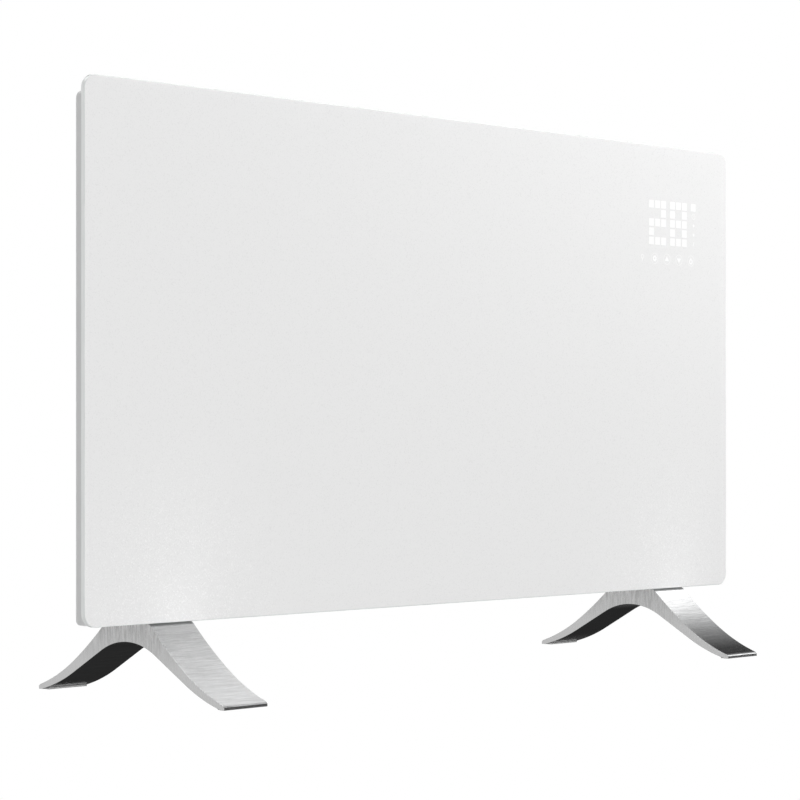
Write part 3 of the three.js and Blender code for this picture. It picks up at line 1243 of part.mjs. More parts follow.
function mainSwitchHousing() {
  const bezelX = rimOuterX + SEAT_GAP;
  const bezel = extruded('x', rectangle(
    [switchMiddleY, switchMiddleZ], SWITCH_BEZEL_WIDTH, SWITCH_BEZEL_HEIGHT, SWITCH_BEZEL_RADIUS, 3,
  ), bezelX, bezelX + SWITCH_BEZEL_THICKNESS);
  const body = block(
    [rimOuterX - SWITCH_BODY_DEPTH, switchMiddleY - SWITCH_BODY_WIDTH / 2,
      switchMiddleZ - SWITCH_BODY_HEIGHT / 2],
    [bezelX + SWITCH_BEZEL_THICKNESS / 2, switchMiddleY + SWITCH_BODY_WIDTH / 2,
      switchMiddleZ + SWITCH_BODY_HEIGHT / 2],
  );
  const pocketHalf = rockerHalfWidth + SEAT_GAP;
  const pocket = block(
    [rockerPivotX - rockerSweep / 2 - ROCKER_SKIRT, switchMiddleY - pocketHalf,
      switchMiddleZ - rockerSweep],
    [rockerPivotX + SWITCH_BODY_DEPTH, switchMiddleY + pocketHalf, switchMiddleZ + rockerSweep],
  );
  const pinReach = rockerHalfWidth + ROCKER_PIN_LENGTH + SEAT_GAP;
  const pinHoles = rod(
    'y', ROCKER_PIN_RADIUS + SEAT_GAP, switchMiddleY - pinReach, switchMiddleY + pinReach,
    [rockerPivotX, switchMiddleZ], 14);
  return bezel.add(body).subtract(pocket).subtract(pinHoles);
}

// The rocker is built about its pivot, in the middle of its throw.
function mainSwitchRocker() {
  const shape = new THREE.Shape();
  shape.moveTo(ROCKER_FACE, -ROCKER_HALF_HEIGHT);
  shape.quadraticCurveTo(ROCKER_FACE - 2 * ROCKER_DISH, 0, ROCKER_FACE, ROCKER_HALF_HEIGHT);
  shape.lineTo(0, ROCKER_HALF_HEIGHT);
  shape.quadraticCurveTo(-2 * ROCKER_SKIRT, 0, 0, -ROCKER_HALF_HEIGHT);
  const width = rockerHalfWidth;
  const pin = width + ROCKER_PIN_LENGTH;
  return extruded('y', new THREE.Shape(shape.getPoints(8)), -width, width)
    .add(rod('y', ROCKER_PIN_RADIUS, -pin, pin, [0, 0], 14));
}

function addSwitches() {
  place(heater, 'tip_switch_housing', tipSwitchHousing(), whitePlastic);
  const pendulumPlace = [tipMiddleX, tipPivotY, tipPivotZ];
  place(heater, 'tip_switch_pendulum', tipSwitchPendulum(), zincSteel, pendulumPlace);
  place(heater, 'main_switch_housing', mainSwitchHousing(), darkPlastic);
  const rockerPlace = [rockerPivotX, switchMiddleY, switchMiddleZ];
  const rocker = place(heater, 'main_switch_rocker', mainSwitchRocker(), darkPlastic, rockerPlace);
  rocker.rotation.y = ROCKER_THROW / 2 * degrees;
}

// ---------------------------------------------------------------- gland, hook plates and leads

// A bush whose two flanges trap the rear wall; it is built about the outer face of the wall.
function cableGland() {
  const outer = SEAT_GAP + GLAND_FLANGE_THICKNESS;
  const inner = -SHEET - SEAT_GAP;
  return turned('y', [
    [GLAND_BORE_RADIUS, inner - GLAND_INNER_LENGTH],
    [GLAND_NECK_RADIUS, inner - GLAND_INNER_LENGTH],
    [GLAND_NECK_RADIUS, inner - GLAND_FLANGE_THICKNESS],
    [GLAND_FLANGE_RADIUS, inner - GLAND_FLANGE_THICKNESS],
    [GLAND_FLANGE_RADIUS, inner],
    [GLAND_NECK_RADIUS, inner],
    [GLAND_NECK_RADIUS, SEAT_GAP],
    [GLAND_FLANGE_RADIUS, SEAT_GAP],
    [GLAND_FLANGE_RADIUS - 1, outer],
    [GLAND_BORE_RADIUS, outer],
    [GLAND_BORE_RADIUS, inner - GLAND_INNER_LENGTH],
  ], 16);
}

// A plate behind the rear wall with a keyhole: a round mouth below and a slot above it.
function hookPlate() {
  const back = -SHEET - SEAT_GAP;
  const shape = rectangle([0, 0], HOOK_PLATE_SIZE, HOOK_PLATE_SIZE, 3, 3);
  const mouthZ = -KEYHOLE_SLOT_LENGTH / 2;
  const slotTop = mouthZ + KEYHOLE_SLOT_LENGTH + KEYHOLE_SLOT_WIDTH / 2;
  const slot = rectangle(
    [0, (mouthZ + slotTop) / 2], KEYHOLE_SLOT_WIDTH, slotTop - mouthZ, KEYHOLE_SLOT_WIDTH / 2 - 0.01, 4);
  const reach = [back - HOOK_PLATE_THICKNESS - 1, back + 1];
  return extruded('y', shape, back - HOOK_PLATE_THICKNESS, back)
    .subtract(rod('y', KEYHOLE_RADIUS, ...reach, [0, mouthZ], 20))
    .subtract(extruded('y', slot, ...reach));
}

function addFittings() {
  const [glandX, glandZ] = glandPlace;
  place(heater, 'cable_gland', cableGland(), darkPlastic, [glandX, wallOuterY, glandZ]);
  hookPlaces.forEach(([x, z], i) => {
    const name = `hook_plate_${['left', 'right'][i]}`;
    place(heater, name, hookPlate(), zincSteel, [x, wallOuterY, z]);
  });
}

function addLeads() {
  const pinEnd = ROD_END + ROD_PIN_LENGTH + SEAT_GAP;
  const rightX = elementRightX + pinEnd;
  const leftX = elementLeftX - pinEnd;
  const y = elementAxisY;
  const straight = 4 * LEAD_RADIUS;
  const entryX = boxLeftX - SEAT_GAP;
  elementHeights.forEach((z, i) => {
    const entryZ = leadEntryHeights[i];
    const route = [
      [rightX, y, z],
      [rightX + straight, y, z],
      [(rightX + entryX) / 2, y, (z + entryZ) / 2],
      [entryX - straight, y, entryZ],
      [entryX, y, entryZ],
    ];
    place(heater, `element_lead_${['lower', 'upper'][i]}`, lead(route), redLead);
  });
  const [lowZ, highZ] = elementHeights;
  const bow = ELEMENT_PITCH / 3;
  const link = [
    [leftX, y, lowZ],
    [leftX - straight, y, lowZ],
    [leftX - bow, y, lowZ + bow],
    [leftX - bow, y, highZ - bow],
    [leftX - straight, y, highZ],
    [leftX, y, highZ],
  ];
  place(heater, 'element_link', lead(link), redLead);
}

addBody();
addFeet();
addElements();
addControls();
addDisplay();
addSwitches();
addFittings();
addLeads();

export default heater;
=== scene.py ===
"""Looks of a glass-front panel convector heater on two arched metal feet.

Metres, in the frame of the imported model: X across the front, Y from the glass to the
wall, Z up, with the origin on the floor under the middle of the heater.
"""
import json
import math

import bmesh
import bpy
from mathutils import Matrix, Vector
from mathutils.geometry import tessellate_polygon


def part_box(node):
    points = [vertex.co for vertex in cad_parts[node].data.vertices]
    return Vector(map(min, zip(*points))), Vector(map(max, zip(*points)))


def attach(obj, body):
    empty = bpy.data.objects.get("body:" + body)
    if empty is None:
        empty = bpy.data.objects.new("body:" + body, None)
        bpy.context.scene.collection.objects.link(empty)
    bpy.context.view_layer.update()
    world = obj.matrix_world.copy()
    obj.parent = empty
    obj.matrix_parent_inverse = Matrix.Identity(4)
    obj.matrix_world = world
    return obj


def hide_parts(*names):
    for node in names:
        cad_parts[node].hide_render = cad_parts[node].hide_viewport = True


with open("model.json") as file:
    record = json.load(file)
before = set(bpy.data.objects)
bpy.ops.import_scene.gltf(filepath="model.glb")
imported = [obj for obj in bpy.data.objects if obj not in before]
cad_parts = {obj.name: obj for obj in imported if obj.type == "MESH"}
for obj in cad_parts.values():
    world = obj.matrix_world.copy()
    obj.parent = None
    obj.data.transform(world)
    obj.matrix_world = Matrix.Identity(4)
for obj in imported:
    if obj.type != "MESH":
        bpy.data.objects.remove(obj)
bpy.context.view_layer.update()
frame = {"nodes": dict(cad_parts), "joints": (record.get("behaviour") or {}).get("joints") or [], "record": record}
glass_low, glass_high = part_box("front_glass")

MM = 0.001


def mm(*lengths):
    return tuple(length * MM for length in lengths)


# -------- camera

PICTURE_SIDE = 800  # pixels
FOCAL_LENGTH = 2504.254  # pixels
HORIZON_ROW = 431.871  # pixels from the top
SENSOR_WIDTH = 36  # millimetres
CAMERA_PLACE = (-1.693159, -1.67471, 0.22768)
CAMERA_TURN = 44.803  # degrees to the right of straight at the glass


def add_object(name, data):
    thing = bpy.data.objects.new(name, data)
    bpy.context.scene.collection.objects.link(thing)
    return thing


def add_camera():
    data = bpy.data.cameras.new("camera")
    data.sensor_width = SENSOR_WIDTH
    data.lens = SENSOR_WIDTH * FOCAL_LENGTH / PICTURE_SIDE
    data.shift_y = HORIZON_ROW / PICTURE_SIDE - 0.5
    camera = add_object("camera", data)
    camera.location = CAMERA_PLACE
    camera.rotation_euler = (math.radians(90), 0, math.radians(-CAMERA_TURN))
    bpy.context.scene.camera = camera


# -------- outlines

TINY = 1e-7
LEAST_RADIUS = 1e-5
SHARPEST_MITRE = 0.4
MOST_OF_EDGE = 0.45  # of an edge that a softened corner may take


def lerp(low, high, share):
    return low + (high - low) * share


def curve(start, corner, end, steps=12):
    """Points of a quadratic curve, without its start."""
    shares = [i / steps for i in range(1, steps + 1)]
    return [start * (1 - t) ** 2 + corner * 2 * t * (1 - t) + end * t * t for t in shares]


def polar(angle, radius):
    return Vector((math.cos(angle), math.sin(angle))) * radius


def rectangle(middle, width, height, radius, steps=8):
    """A rounded rectangle, counter-clockwise."""
    corners = ((1, -1, -90), (1, 1, 0), (-1, 1, 90), (-1, -1, 180))
    points = []
    for side_u, side_v, first in corners:
        centre = Vector((side_u * (width / 2 - radius), side_v * (height / 2 - radius)))
        points += [centre + polar(math.radians(first + 90 * i / steps), radius)
                   for i in range(steps + 1)]
    apart = [point for i, point in enumerate(points) if (point - points[i - 1]).length > TINY]
    return [Vector(middle) + point for point in apart]


def circle(middle, radius, steps=48):
    return [Vector(middle) + polar(2 * math.pi * i / steps, radius) for i in range(steps)]


def turning(points, counter_clockwise):
    pairs = zip(points, points[1:] + points[:1])
    area = sum(a.x * b.y - b.x * a.y for a, b in pairs)
    return list(points) if (area > 0) == counter_clockwise else list(reversed(points))


def inset(points, distance):
    """The outline moved towards its left by a distance, with mitred corners."""
    moved = []
    befores = points[-1:] + points[:-1]
    afters = points[1:] + points[:1]
    for before, point, after in zip(befores, points, afters):
        first = (point - before).normalized()
        second = (after - point).normalized()
        left = Vector((-first.y - second.y, first.x + second.x))
        moved.append(point + left * (distance / max(1 + first.dot(second), SHARPEST_MITRE)))
    return moved


# -------- solids

FACING_FRONT = Matrix(((1, 0, 0), (0, 0, -1), (0, 1, 0)))  # outline in x, z; depth towards -y
FACING_BACK = Matrix(((1, 0, 0), (0, 0, 1), (0, -1, 0)))  # outline in x, -z; depth towards +y
FACING_SIDE = Matrix(((0, 0, 1), (1, 0, 0), (0, 1, 0)))  # outline in y, z; depth towards +x


def smooth(solid):
    for face in solid.faces:
        face.smooth = True
    return solid


def skin(solid, lower, upper):
    """Faces between two rings of vertices, of which one may be a single vertex."""
    count = max(len(lower), len(upper))
    for i in range(count):
        j = (i + 1) % count
        corners = (lower[i % len(lower)], lower[j % len(lower)],
                   upper[j % len(upper)], upper[i % len(upper)])
        solid.faces.new(list(dict.fromkeys(corners)))


def prism(loops, depth, edge=0.0, steps=4):
    """A plate of a depth about zero with its edges rounded; loops after the first are holes.

    Its two flat faces take the first look and its walls the second.
    """
    solid = bmesh.new()
    loops = [turning(loop, i == 0) for i, loop in enumerate(loops)]
    if edge:
        angles = [math.pi / 2 * i / steps for i in range(steps + 1)]
        levels = [(edge * (1 - math.sin(a)), -depth / 2 + edge * (1 - math.cos(a))) for a in angles]
        levels += [(step, -height) for step, height in reversed(levels)]
    else:
        levels = [(0.0, -depth / 2), (0.0, depth / 2)]
    rings = []
    for step, height in levels:
        shapes = [inset(loop, step) if step else loop for loop in loops]
        rings.append([[solid.verts.new((p.x, p.y, height)) for p in shape] for shape in shapes])
    for lower, upper in zip(rings, rings[1:]):
        for low_loop, high_loop in zip(lower, upper):
            skin(solid, low_loop, high_loop)
    for wall in smooth(solid).faces:
        wall.material_index = 1
    for ring in (rings[0], rings[-1]):
        corners = [vertex for loop in ring for vertex in loop]
        for three in tessellate_polygon([[vertex.co for vertex in loop] for loop in ring]):
            solid.faces.new([corners[i] for i in three])
    bmesh.ops.recalc_face_normals(solid, faces=solid.faces)
    return solid


def lathe(profile, steps=40, ring=False):
    """A solid turned about Z from (radius, height) points; a ring's profile closes on itself."""
    solid = bmesh.new()
    rings = []
    for radius, height in profile:
        points = [Vector((0, 0))] if radius < TINY else circle((0, 0), radius, steps)
        rings.append([solid.verts.new((point.x, point.y, height)) for point in points])
    for lower, upper in zip(rings, rings[1:] + (rings[:1] if ring else [])):
        skin(solid, lower, upper)
    bmesh.ops.recalc_face_normals(solid, faces=solid.faces)
    return smooth(solid)


def softened(profile, radius, steps=3):
    """The profile with each inner corner rounded."""
    points = [Vector(point) for point in profile]
    rounded = [points[0]]
    for before, corner, after in zip(points, points[1:], points[2:]):
        back = before - corner
        ahead = after - corner
        reach = min(radius, MOST_OF_EDGE * back.length, MOST_OF_EDGE * ahead.length)
        start = corner + back.normalized() * reach
        rounded += [start, *curve(start, corner, corner + ahead.normalized() * reach, steps)]
    return [*rounded, points[-1]]


def block(size, edge=0.0, steps=2):
    """A block about zero with its edges rounded."""
    width, depth, height = size
    outline = rectangle((0, 0), width, depth, max(edge, LEAST_RADIUS), steps)
    return prism([outline], height, edge, steps)


def placed(solid, place=(0, 0, 0), turn=Matrix.Identity(3)):
    solid.transform(Matrix.Translation(place) @ turn.to_4x4())
    return solid


def as_mesh(name, solid):
    mesh = bpy.data.meshes.new(name)
    solid.to_mesh(mesh)
    solid.free()
    return mesh


def together(solids):
    whole = bmesh.new()
    for solid in solids:
        mesh = as_mesh("part", solid)
        whole.from_mesh(mesh)
        bpy.data.meshes.remove(mesh)
    return whole


def loft(rings):
    """A closed solid through rings that each have the same number of points."""
    solid = bmesh.new()
    layers = [[solid.verts.new(point) for point in ring] for ring in rings]
    for lower, upper in zip(layers, layers[1:]):
        skin(solid, lower, upper)
    solid.faces.new(layers[0])
    solid.faces.new(layers[-1])
    bmesh.ops.recalc_face_normals(solid, faces=solid.faces)
    return solid


def cut(solid, *groups):
    """The solid without its cutters, one group of them after another."""
    for cutters in groups:
        body = add_object("cut_body", as_mesh("cut_body", solid))
        tool = add_object("cut_tool", as_mesh("cut_tool", together(cutters)))
        modifier = body.modifiers.new("cut", "BOOLEAN")
        modifier.operation = "DIFFERENCE"
        modifier.solver = "MANIFOLD"
        modifier.object = tool
        bpy.context.view_layer.update()
        evaluated = body.evaluated_get(bpy.context.evaluated_depsgraph_get())
        solid = bmesh.new()
        solid.from_mesh(evaluated.to_mesh())
        evaluated.to_mesh_clear()
        for thing in (body, tool):
            bpy.data.meshes.remove(thing.data)  # and with it the object
    return solid


def piece(name, solid, slot, stands_for=(), look=None, body="root", sharp=32):
    """A piece of the heater that rides on a body and may stand for CAD nodes.

    It has its slot's look, or another, which may be a pair for two kinds of face.
    """
    thing = add_object(name, as_mesh(name, solid))
    thing.data.set_sharp_from_angle(angle=math.radians(sharp))
    thing.modifiers.new("weighted", "WEIGHTED_NORMAL").keep_sharp = True
    look = look or SLOT_LOOKS[slot]
    for material in look if isinstance(look, tuple) else (look, look):
        thing.data.materials.append(material)
    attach(thing, body)
    if stands_for:
        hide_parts(*stands_for)


# -------- materials

NOISE_LOW, NOISE_HIGH = 0.3, 0.7  # most of a noise lies between these
# Where painted sparkle brightens the glass's base colour above each foot, standing for light the feet throw up.
PAINTED_GLOW_PLACE = (0.333, 0.06)  # to each side and above the floor
PAINTED_GLOW_SIZE = (0.15, 0.003, 0.18)  # half its width, depth and height
MARKS_START, MARKS_END = 28 * MM, 64 * MM  # heights between which a foot's side darkens more and more, along its brush marks
COAT_TONE = 0.84


class Graph:
    """The shader nodes of a material or a world."""

    easing = "LINEAR"

    def __init__(self, owner):
        owner.use_nodes = True
        self.tree = owner.node_tree

    def feed(self, socket, value):
        """Sets a socket to a value, or links another node's output to it."""
        if isinstance(value, bpy.types.NodeSocket):
            self.tree.links.new(value, socket)
        else:
            socket.default_value = value

    def node(self, kind, inputs=(), **settings):
        """A new node with its settings and what feeds its inputs."""
        node = self.tree.nodes.new(f"ShaderNode{kind}")
        for key, value in settings.items():
            setattr(node, key, value)
        for key, value in dict(inputs).items():
            self.feed(node.inputs[key], value)
        return node

    def math(self, operation, value, *others):
        for other in others:
            value = self.node("Math", {0: value, 1: other}, operation=operation).outputs["Value"]
        return value

    def ramp(self, value, low, high, start=NOISE_LOW, end=NOISE_HIGH):
        """Runs from low to high while the value runs from start to end."""
        inputs = {"Value": value, "From Min": start, "From Max": end, "To Min": low, "To Max": high}
        return self.node("MapRange", inputs, interpolation_type=self.easing).outputs["Result"]


class Look(Graph):
    """A material on object coordinates, with scales in features per metre."""

    def __init__(self, name, **sockets):
        self.material = bpy.data.materials.new(name)
        super().__init__(self.material)
        self.give(**sockets)
        self.place = self.node("TexCoord").outputs["Object"]

    def give(self, **sockets):
        """Feeds the shader's sockets, whose names have underscores for spaces."""
        for key, value in sockets.items():
            self.feed(self.tree.nodes["Principled BSDF"].inputs[key.replace("_", " ")], value)
        return self

    def stretched(self, scale):
        scale = scale if isinstance(scale, tuple) else (scale, scale, scale)
        return self.node("Mapping", {"Vector": self.place, "Scale": scale}).outputs["Vector"]

    def noise(self, scale, detail=2.0, roughness=0.5, distortion=0.0):
        """Noise whose features repeat so many times a metre, or so many along x, y and z."""
        inputs = {"Vector": self.stretched(scale), "Scale": 1, "Detail": detail,
                  "Roughness": roughness, "Distortion": distortion}
        return self.node("TexNoise", inputs).outputs["Fac"]

    def cells(self, scale, feature="F1"):
        inputs = {"Vector": self.stretched(scale), "Scale": 1}
        return self.node("TexVoronoi", inputs, feature=feature).outputs["Distance"]

    def painted_glow(self, side):
        """A painted glow mask on the glass above a foot, fading out around it."""
        middle = (side * PAINTED_GLOW_PLACE[0], glass_low.y, PAINTED_GLOW_PLACE[1])
        inputs = {"Vector": self.place, "Location": middle, "Scale": PAINTED_GLOW_SIZE}
        mapping = self.node("Mapping", inputs, vector_type="TEXTURE")
        inputs = {"Vector": mapping.outputs["Vector"]}
        return self.node("TexGradient", inputs, gradient_type="SPHERICAL").outputs["Fac"]

    def blend(self, factor, first, second, start=NOISE_LOW, end=NOISE_HIGH):
        node = self.node("ValToRGB", {"Fac": factor})
        stops = zip(node.color_ramp.elements, (start, end), (first, second))
        for stop, position, colour in stops:
            stop.position = position
            stop.color = (*colour, 1)
        return node.outputs["Color"]

    def colours(self, *blend):
        return self.give(Base_Color=self.blend(*blend))

    def roughness(self, factor, low, high):
        return self.give(Roughness=self.ramp(factor, low, high))

    def bump(self, height, distance, strength=1.0):
        inputs = {"Height": height, "Distance": distance, "Strength": strength}
        return self.give(Normal=self.node("Bump", inputs).outputs["Normal"])


def grey(value, tint=0.0):
    """A grey that leans to blue for a positive tint."""
    return (value * (1 - tint), value, value * (1 + tint))


def satin_glass():
    """White behind a satin face, with painted sparkle: speckles that brighten the base colour above each foot,
    standing for light the feet throw up onto it.
    """
    look = Look("satin_glass", IOR=1.5)
    grain = look.noise(900, detail=3)
    # Painted light: speckles added to the base colour, strongest above the feet.
    painted_sparkle = look.ramp(look.noise(1000, detail=1), low=0.0, high=0.2, start=0.54, end=0.76)
    painted_glow_near_feet = look.math("MAXIMUM", look.painted_glow(-1), look.painted_glow(1))
    look.give(Base_Color=look.math("ADD", look.ramp(grain, low=0.837, high=0.843),
                                   look.math("MULTIPLY", painted_sparkle, painted_glow_near_feet)))
    look.roughness(grain, 0.273, 0.277)
    return look.bump(look.noise(1500), 0.05 * MM, 0.06).material


def glass_edge():
    look = Look("glass_edge", IOR=1.5, Coat_Weight=0.4, Coat_Roughness=0.05)
    run = look.noise((260, 260, 40))
    look.colours(run, (0.8, 0.82, 0.815), (0.86, 0.875, 0.87))
    return look.roughness(run, 0.1, 0.2).material


def powder_coat():
    look = Look("powder_coat", IOR=1.48)
    peel = look.noise(520, detail=3, roughness=0.6)
    look.colours(look.noise(30, detail=4), grey(0.59, 0.004), grey(0.605, 0.004))
    look.roughness(peel, 0.42, 0.58)
    return look.bump(peel, 0.09 * MM, 0.7).material


def brushed_across():
    """Metal brushed across the width of a foot."""
    look = Look("brushed_across", Metallic=1.0)
    fine = look.noise((55, 700, 700), detail=5, roughness=0.65)
    broad = look.noise((22, 280, 280))
    grain = look.math("ADD", look.math("MULTIPLY", fine, 0.75), look.math("MULTIPLY", broad, 0.25))
    look.colours(grain, grey(0.5, 0.004), grey(0.68, 0.006), 0.34, 0.62)
    look.roughness(grain, 0.24, 0.15)
    return look.bump(grain, 0.08 * MM).material


def brushed_side():
    """Upright brush marks, whose streaks darken the side more and more towards the top of a foot."""
    look = Look("brushed_side", Metallic=1.0)
    grain = look.noise((700, 700, 60), detail=5, roughness=0.65, distortion=0.15)
    height = look.node("SeparateXYZ", {"Vector": look.place}).outputs["Z"]
    strength = look.ramp(height, low=0.04, high=0.36, start=MARKS_START, end=MARKS_END)
    marks = look.math("MULTIPLY", look.ramp(grain, 0.0, 1.0, start=0.36, end=0.64), strength)
    look.give(Base_Color=look.math("SUBTRACT", 0.82, marks))
    look.roughness(grain, 0.3, 0.24)
    return look.bump(grain, 0.02 * MM).material


def zinc_steel():
    look = Look("zinc_steel", Metallic=1.0)
    look.colours(look.cells(140), (0.56, 0.575, 0.6), (0.66, 0.67, 0.685), 0.1, 0.9)
    look.roughness(look.noise(300, detail=4), 0.3, 0.46)
    return look.bump(look.noise(900, detail=3), 0.02 * MM, 0.4).material


def bright_screw():
    look = Look("bright_screw", Metallic=1.0)
    look.colours(look.noise(1200, detail=3), grey(0.62, 0.01), grey(0.74, 0.01))
    return look.roughness(look.noise(700, detail=3), 0.24, 0.4).material


def fin_aluminium():
    look = Look("fin_aluminium", Metallic=1.0)
    lines = look.noise((12, 900, 900), detail=4, roughness=0.6)
    look.colours(lines, grey(0.66, 0.01), grey(0.78, 0.01))
    look.roughness(lines, 0.46, 0.32)
    return look.bump(lines, 0.05 * MM, 0.6).material


def moulded(name, tone, tint, rough, texture=620, depth=0.05 * MM):
    """Moulded plastic or rubber with a fine spark-eroded texture."""
    look = Look(name, IOR=1.46)
    fine = look.noise(texture, detail=4, roughness=0.6)
    look.colours(look.noise(45, detail=3), grey(tone * 0.96, tint), grey(tone * 1.04, tint))
    look.roughness(fine, rough - 0.07, rough + 0.09)
    return look.bump(fine, depth, 0.7).material


def foam():
    look = Look("foam", Roughness=0.85)
    pores = look.cells(1500)
    look.colours(pores, grey(0.5), grey(0.68), 0.05, 0.6)
    return look.bump(pores, 0.15 * MM, 0.8).material


def circuit_board():
    look = Look("circuit_board", IOR=1.5)
    tracks = look.cells(90, feature="DISTANCE_TO_EDGE")
    look.colours(tracks, (0.035, 0.24, 0.09), (0.015, 0.12, 0.045), 0.04, 0.07)
    look.roughness(look.noise(400, detail=3), 0.28, 0.42)
    return look.bump(tracks, 0.03 * MM, 0.5).material


def ceramic():
    look = Look("ceramic", Roughness=0.55)
    speckle = look.noise(800, detail=5, roughness=0.7)
    look.colours(speckle, (0.76, 0.71, 0.6), (0.86, 0.83, 0.75))
    return look.bump(speckle, 0.04 * MM, 0.6).material


def red_silicone():
    look = Look("red_silicone")
    look.colours(look.noise(120, detail=3), (0.36, 0.04, 0.03), (0.48, 0.06, 0.04))
    look.roughness(look.noise(500, detail=3), 0.38, 0.55)
    return look.bump(look.noise(1100), 0.03 * MM, 0.5).material


def lit(name, level):
    """Light that shines through the white coat of the glass."""
    look = Look(name, Base_Color=(*grey(COAT_TONE), 1), Roughness=0.4, Emission_Strength=1.0)
    light = look.blend(look.noise(700), grey(level * 0.96), grey(level * 1.04), 0.0, 1.0)
    return look.give(Emission_Color=light).material


GLASS_EDGE = glass_edge()
BRUSHED_SIDE = brushed_side()
BRIGHT_SCREW = bright_screw()
LIT_BRIGHT = lit("lit_bright", 0.14)
LIT_MIDDLE = lit("lit_middle", 0.11)
LIT_FAINT = lit("lit_faint", 0.1)

SLOT_LOOKS = {
    "satin_glass": satin_glass(),
    "white_paint": powder_coat(),
    "white_plastic": moulded("white_plastic", 0.72, 0.004, 0.45),
    "brushed_metal": brushed_across(),
    "zinc_steel": zinc_steel(),
    "fin_aluminium": fin_aluminium(),
    "grey_rubber": moulded("grey_rubber", 0.55, 0.0, 0.75, texture=900, depth=0.08 * MM),
    "dark_plastic": moulded("dark_plastic", 0.035, 0.02, 0.42),
    "circuit_board": circuit_board(),
    "ceramic": ceramic(),
    "red_insulation": red_silicone(),
}
NODE_LOOKS = {"glass_gasket": foam()}


def dress_nodes():
    """Each CAD node takes the look of its slot."""
    slots = {row["node"]: row["material_slot"] for row in frame["record"]["subparts"]}
    for name, node in frame["nodes"].items():
        node.data.materials.clear()
        node.data.materials.append(NODE_LOOKS.get(name, SLOT_LOOKS[slots[name]]))


# -------- glass and display

GLASS_CORNER = 12 * MM
GLASS_EDGE_RADIUS = 0.8 * MM
LIT_PROUD = 0.05 * MM
LIT_SUNK = 0.4 * MM
LIT_BLOCK = 7.8 * MM
LIT_BLOCK_CORNER = 0.5 * MM
BLOCK_PITCH = mm(9.75, 9.45)
DIGIT_PITCH = 34.1 * MM
DIGIT_MARGIN = mm(19.1, 4.9)  # margins run from the left end and the top of the display
DEGREE_MARGIN = 87.3 * MM
STATUS_MARGIN = mm(91.7, 18.2)
STATUS_PITCH = 9.6 * MM
KEY_MARGIN = mm(8.4, 64.8)
KEY_PITCH = 19.72 * MM
KEY_RING = 5.6 * MM
KEY_LINE = 0.45 * MM
KEY_COUNT = 5
CLOCK = mm(3, 0.6)  # radius and line, as for each ring
CLOCK_HAND = mm(0.5, 2, 0.2)  # width, height and corner
CLOCK_HAND_SHIFT = mm(0.4, 0.6)
DOT_RADII = mm(1.5, 1.6)
STROKE_LEAN = Vector((0.7, 2.2)) * MM
STROKE_ACROSS = Vector((0.55, -0.15)) * MM
PIN_HEAD = mm(2.3, 0.8)
PIN_RISE = 1.2 * MM
PIN_TAIL = ((-0.8, -2.3), (0.8, -2.3), (0.35, -5), (-0.35, -5))  # millimetres from the head
GEAR = mm(2.7, 3.3)  # root and crest
GEAR_HOLE = 1.1 * MM
TOOTH = (0.22, 0.34, 0.66, 0.78)  # shares of a tooth's pitch at which its flanks start and end
ARROW = mm(3.4, 4.9)  # half its width, and its height
MARK_SHIFT = Vector((0, 0.7 * MM))  # up for the upper arrow, down for the lower
POWER_RING = mm(2.8, 1.3)
POWER_BAR = mm(1.2, 2.6, 0.4)
LIGHT_GUIDE_FLANGE = 4 * MM
DIGITS = (("111", "001", "111", "100", "111"), ("111", "101", "111", "101", "111"))

guide_low, guide_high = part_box("display_light_guide")
display_left = guide_low.x + LIGHT_GUIDE_FLANGE
display_top = guide_high.z - LIGHT_GUIDE_FLANGE


def add_glass():
    size = glass_high - glass_low
    middle = (glass_low + glass_high) / 2
    outline = rectangle((0, 0), size.x, size.z, GLASS_CORNER, 20)
    solid = placed(prism([outline], size.y, GLASS_EDGE_RADIUS, 6), middle, FACING_FRONT)
    look = (SLOT_LOOKS["satin_glass"], GLASS_EDGE)
    piece("glass_panel", solid, "satin_glass", ["front_glass"], look)


def lit_shape(name, loops, look=LIT_BRIGHT):
    """A lit patch, flush in the face of the glass."""
    solid = prism(loops, LIT_PROUD + LIT_SUNK)
    y = glass_low.y + (LIT_SUNK - LIT_PROUD) / 2
    piece(f"lit_{name}", placed(solid, (0, y, 0), FACING_FRONT), "satin_glass", look=look)


def lit_block(name, left, top):
    middle = (left + LIT_BLOCK / 2, top - LIT_BLOCK / 2)
    outline = rectangle(middle, LIT_BLOCK, LIT_BLOCK, LIT_BLOCK_CORNER, 4)
    lit_shape(name, [outline])


def add_digits():
    top = display_top - DIGIT_MARGIN[1]
    for digit, rows in enumerate(DIGITS):
        left = display_left + DIGIT_MARGIN[0] + digit * DIGIT_PITCH
        for row, marks in enumerate(rows):
            for column, mark in enumerate(marks):
                if mark == "1":
                    name = f"digit_{digit}_{row}_{column}"
                    lit_block(name, left + column * BLOCK_PITCH[0], top - row * BLOCK_PITCH[1])
    lit_block("degree", display_left + DEGREE_MARGIN, top)


def ring(middle, radius, line, steps=48):
    return [circle(middle, radius, steps), circle(middle, radius - line, steps)]


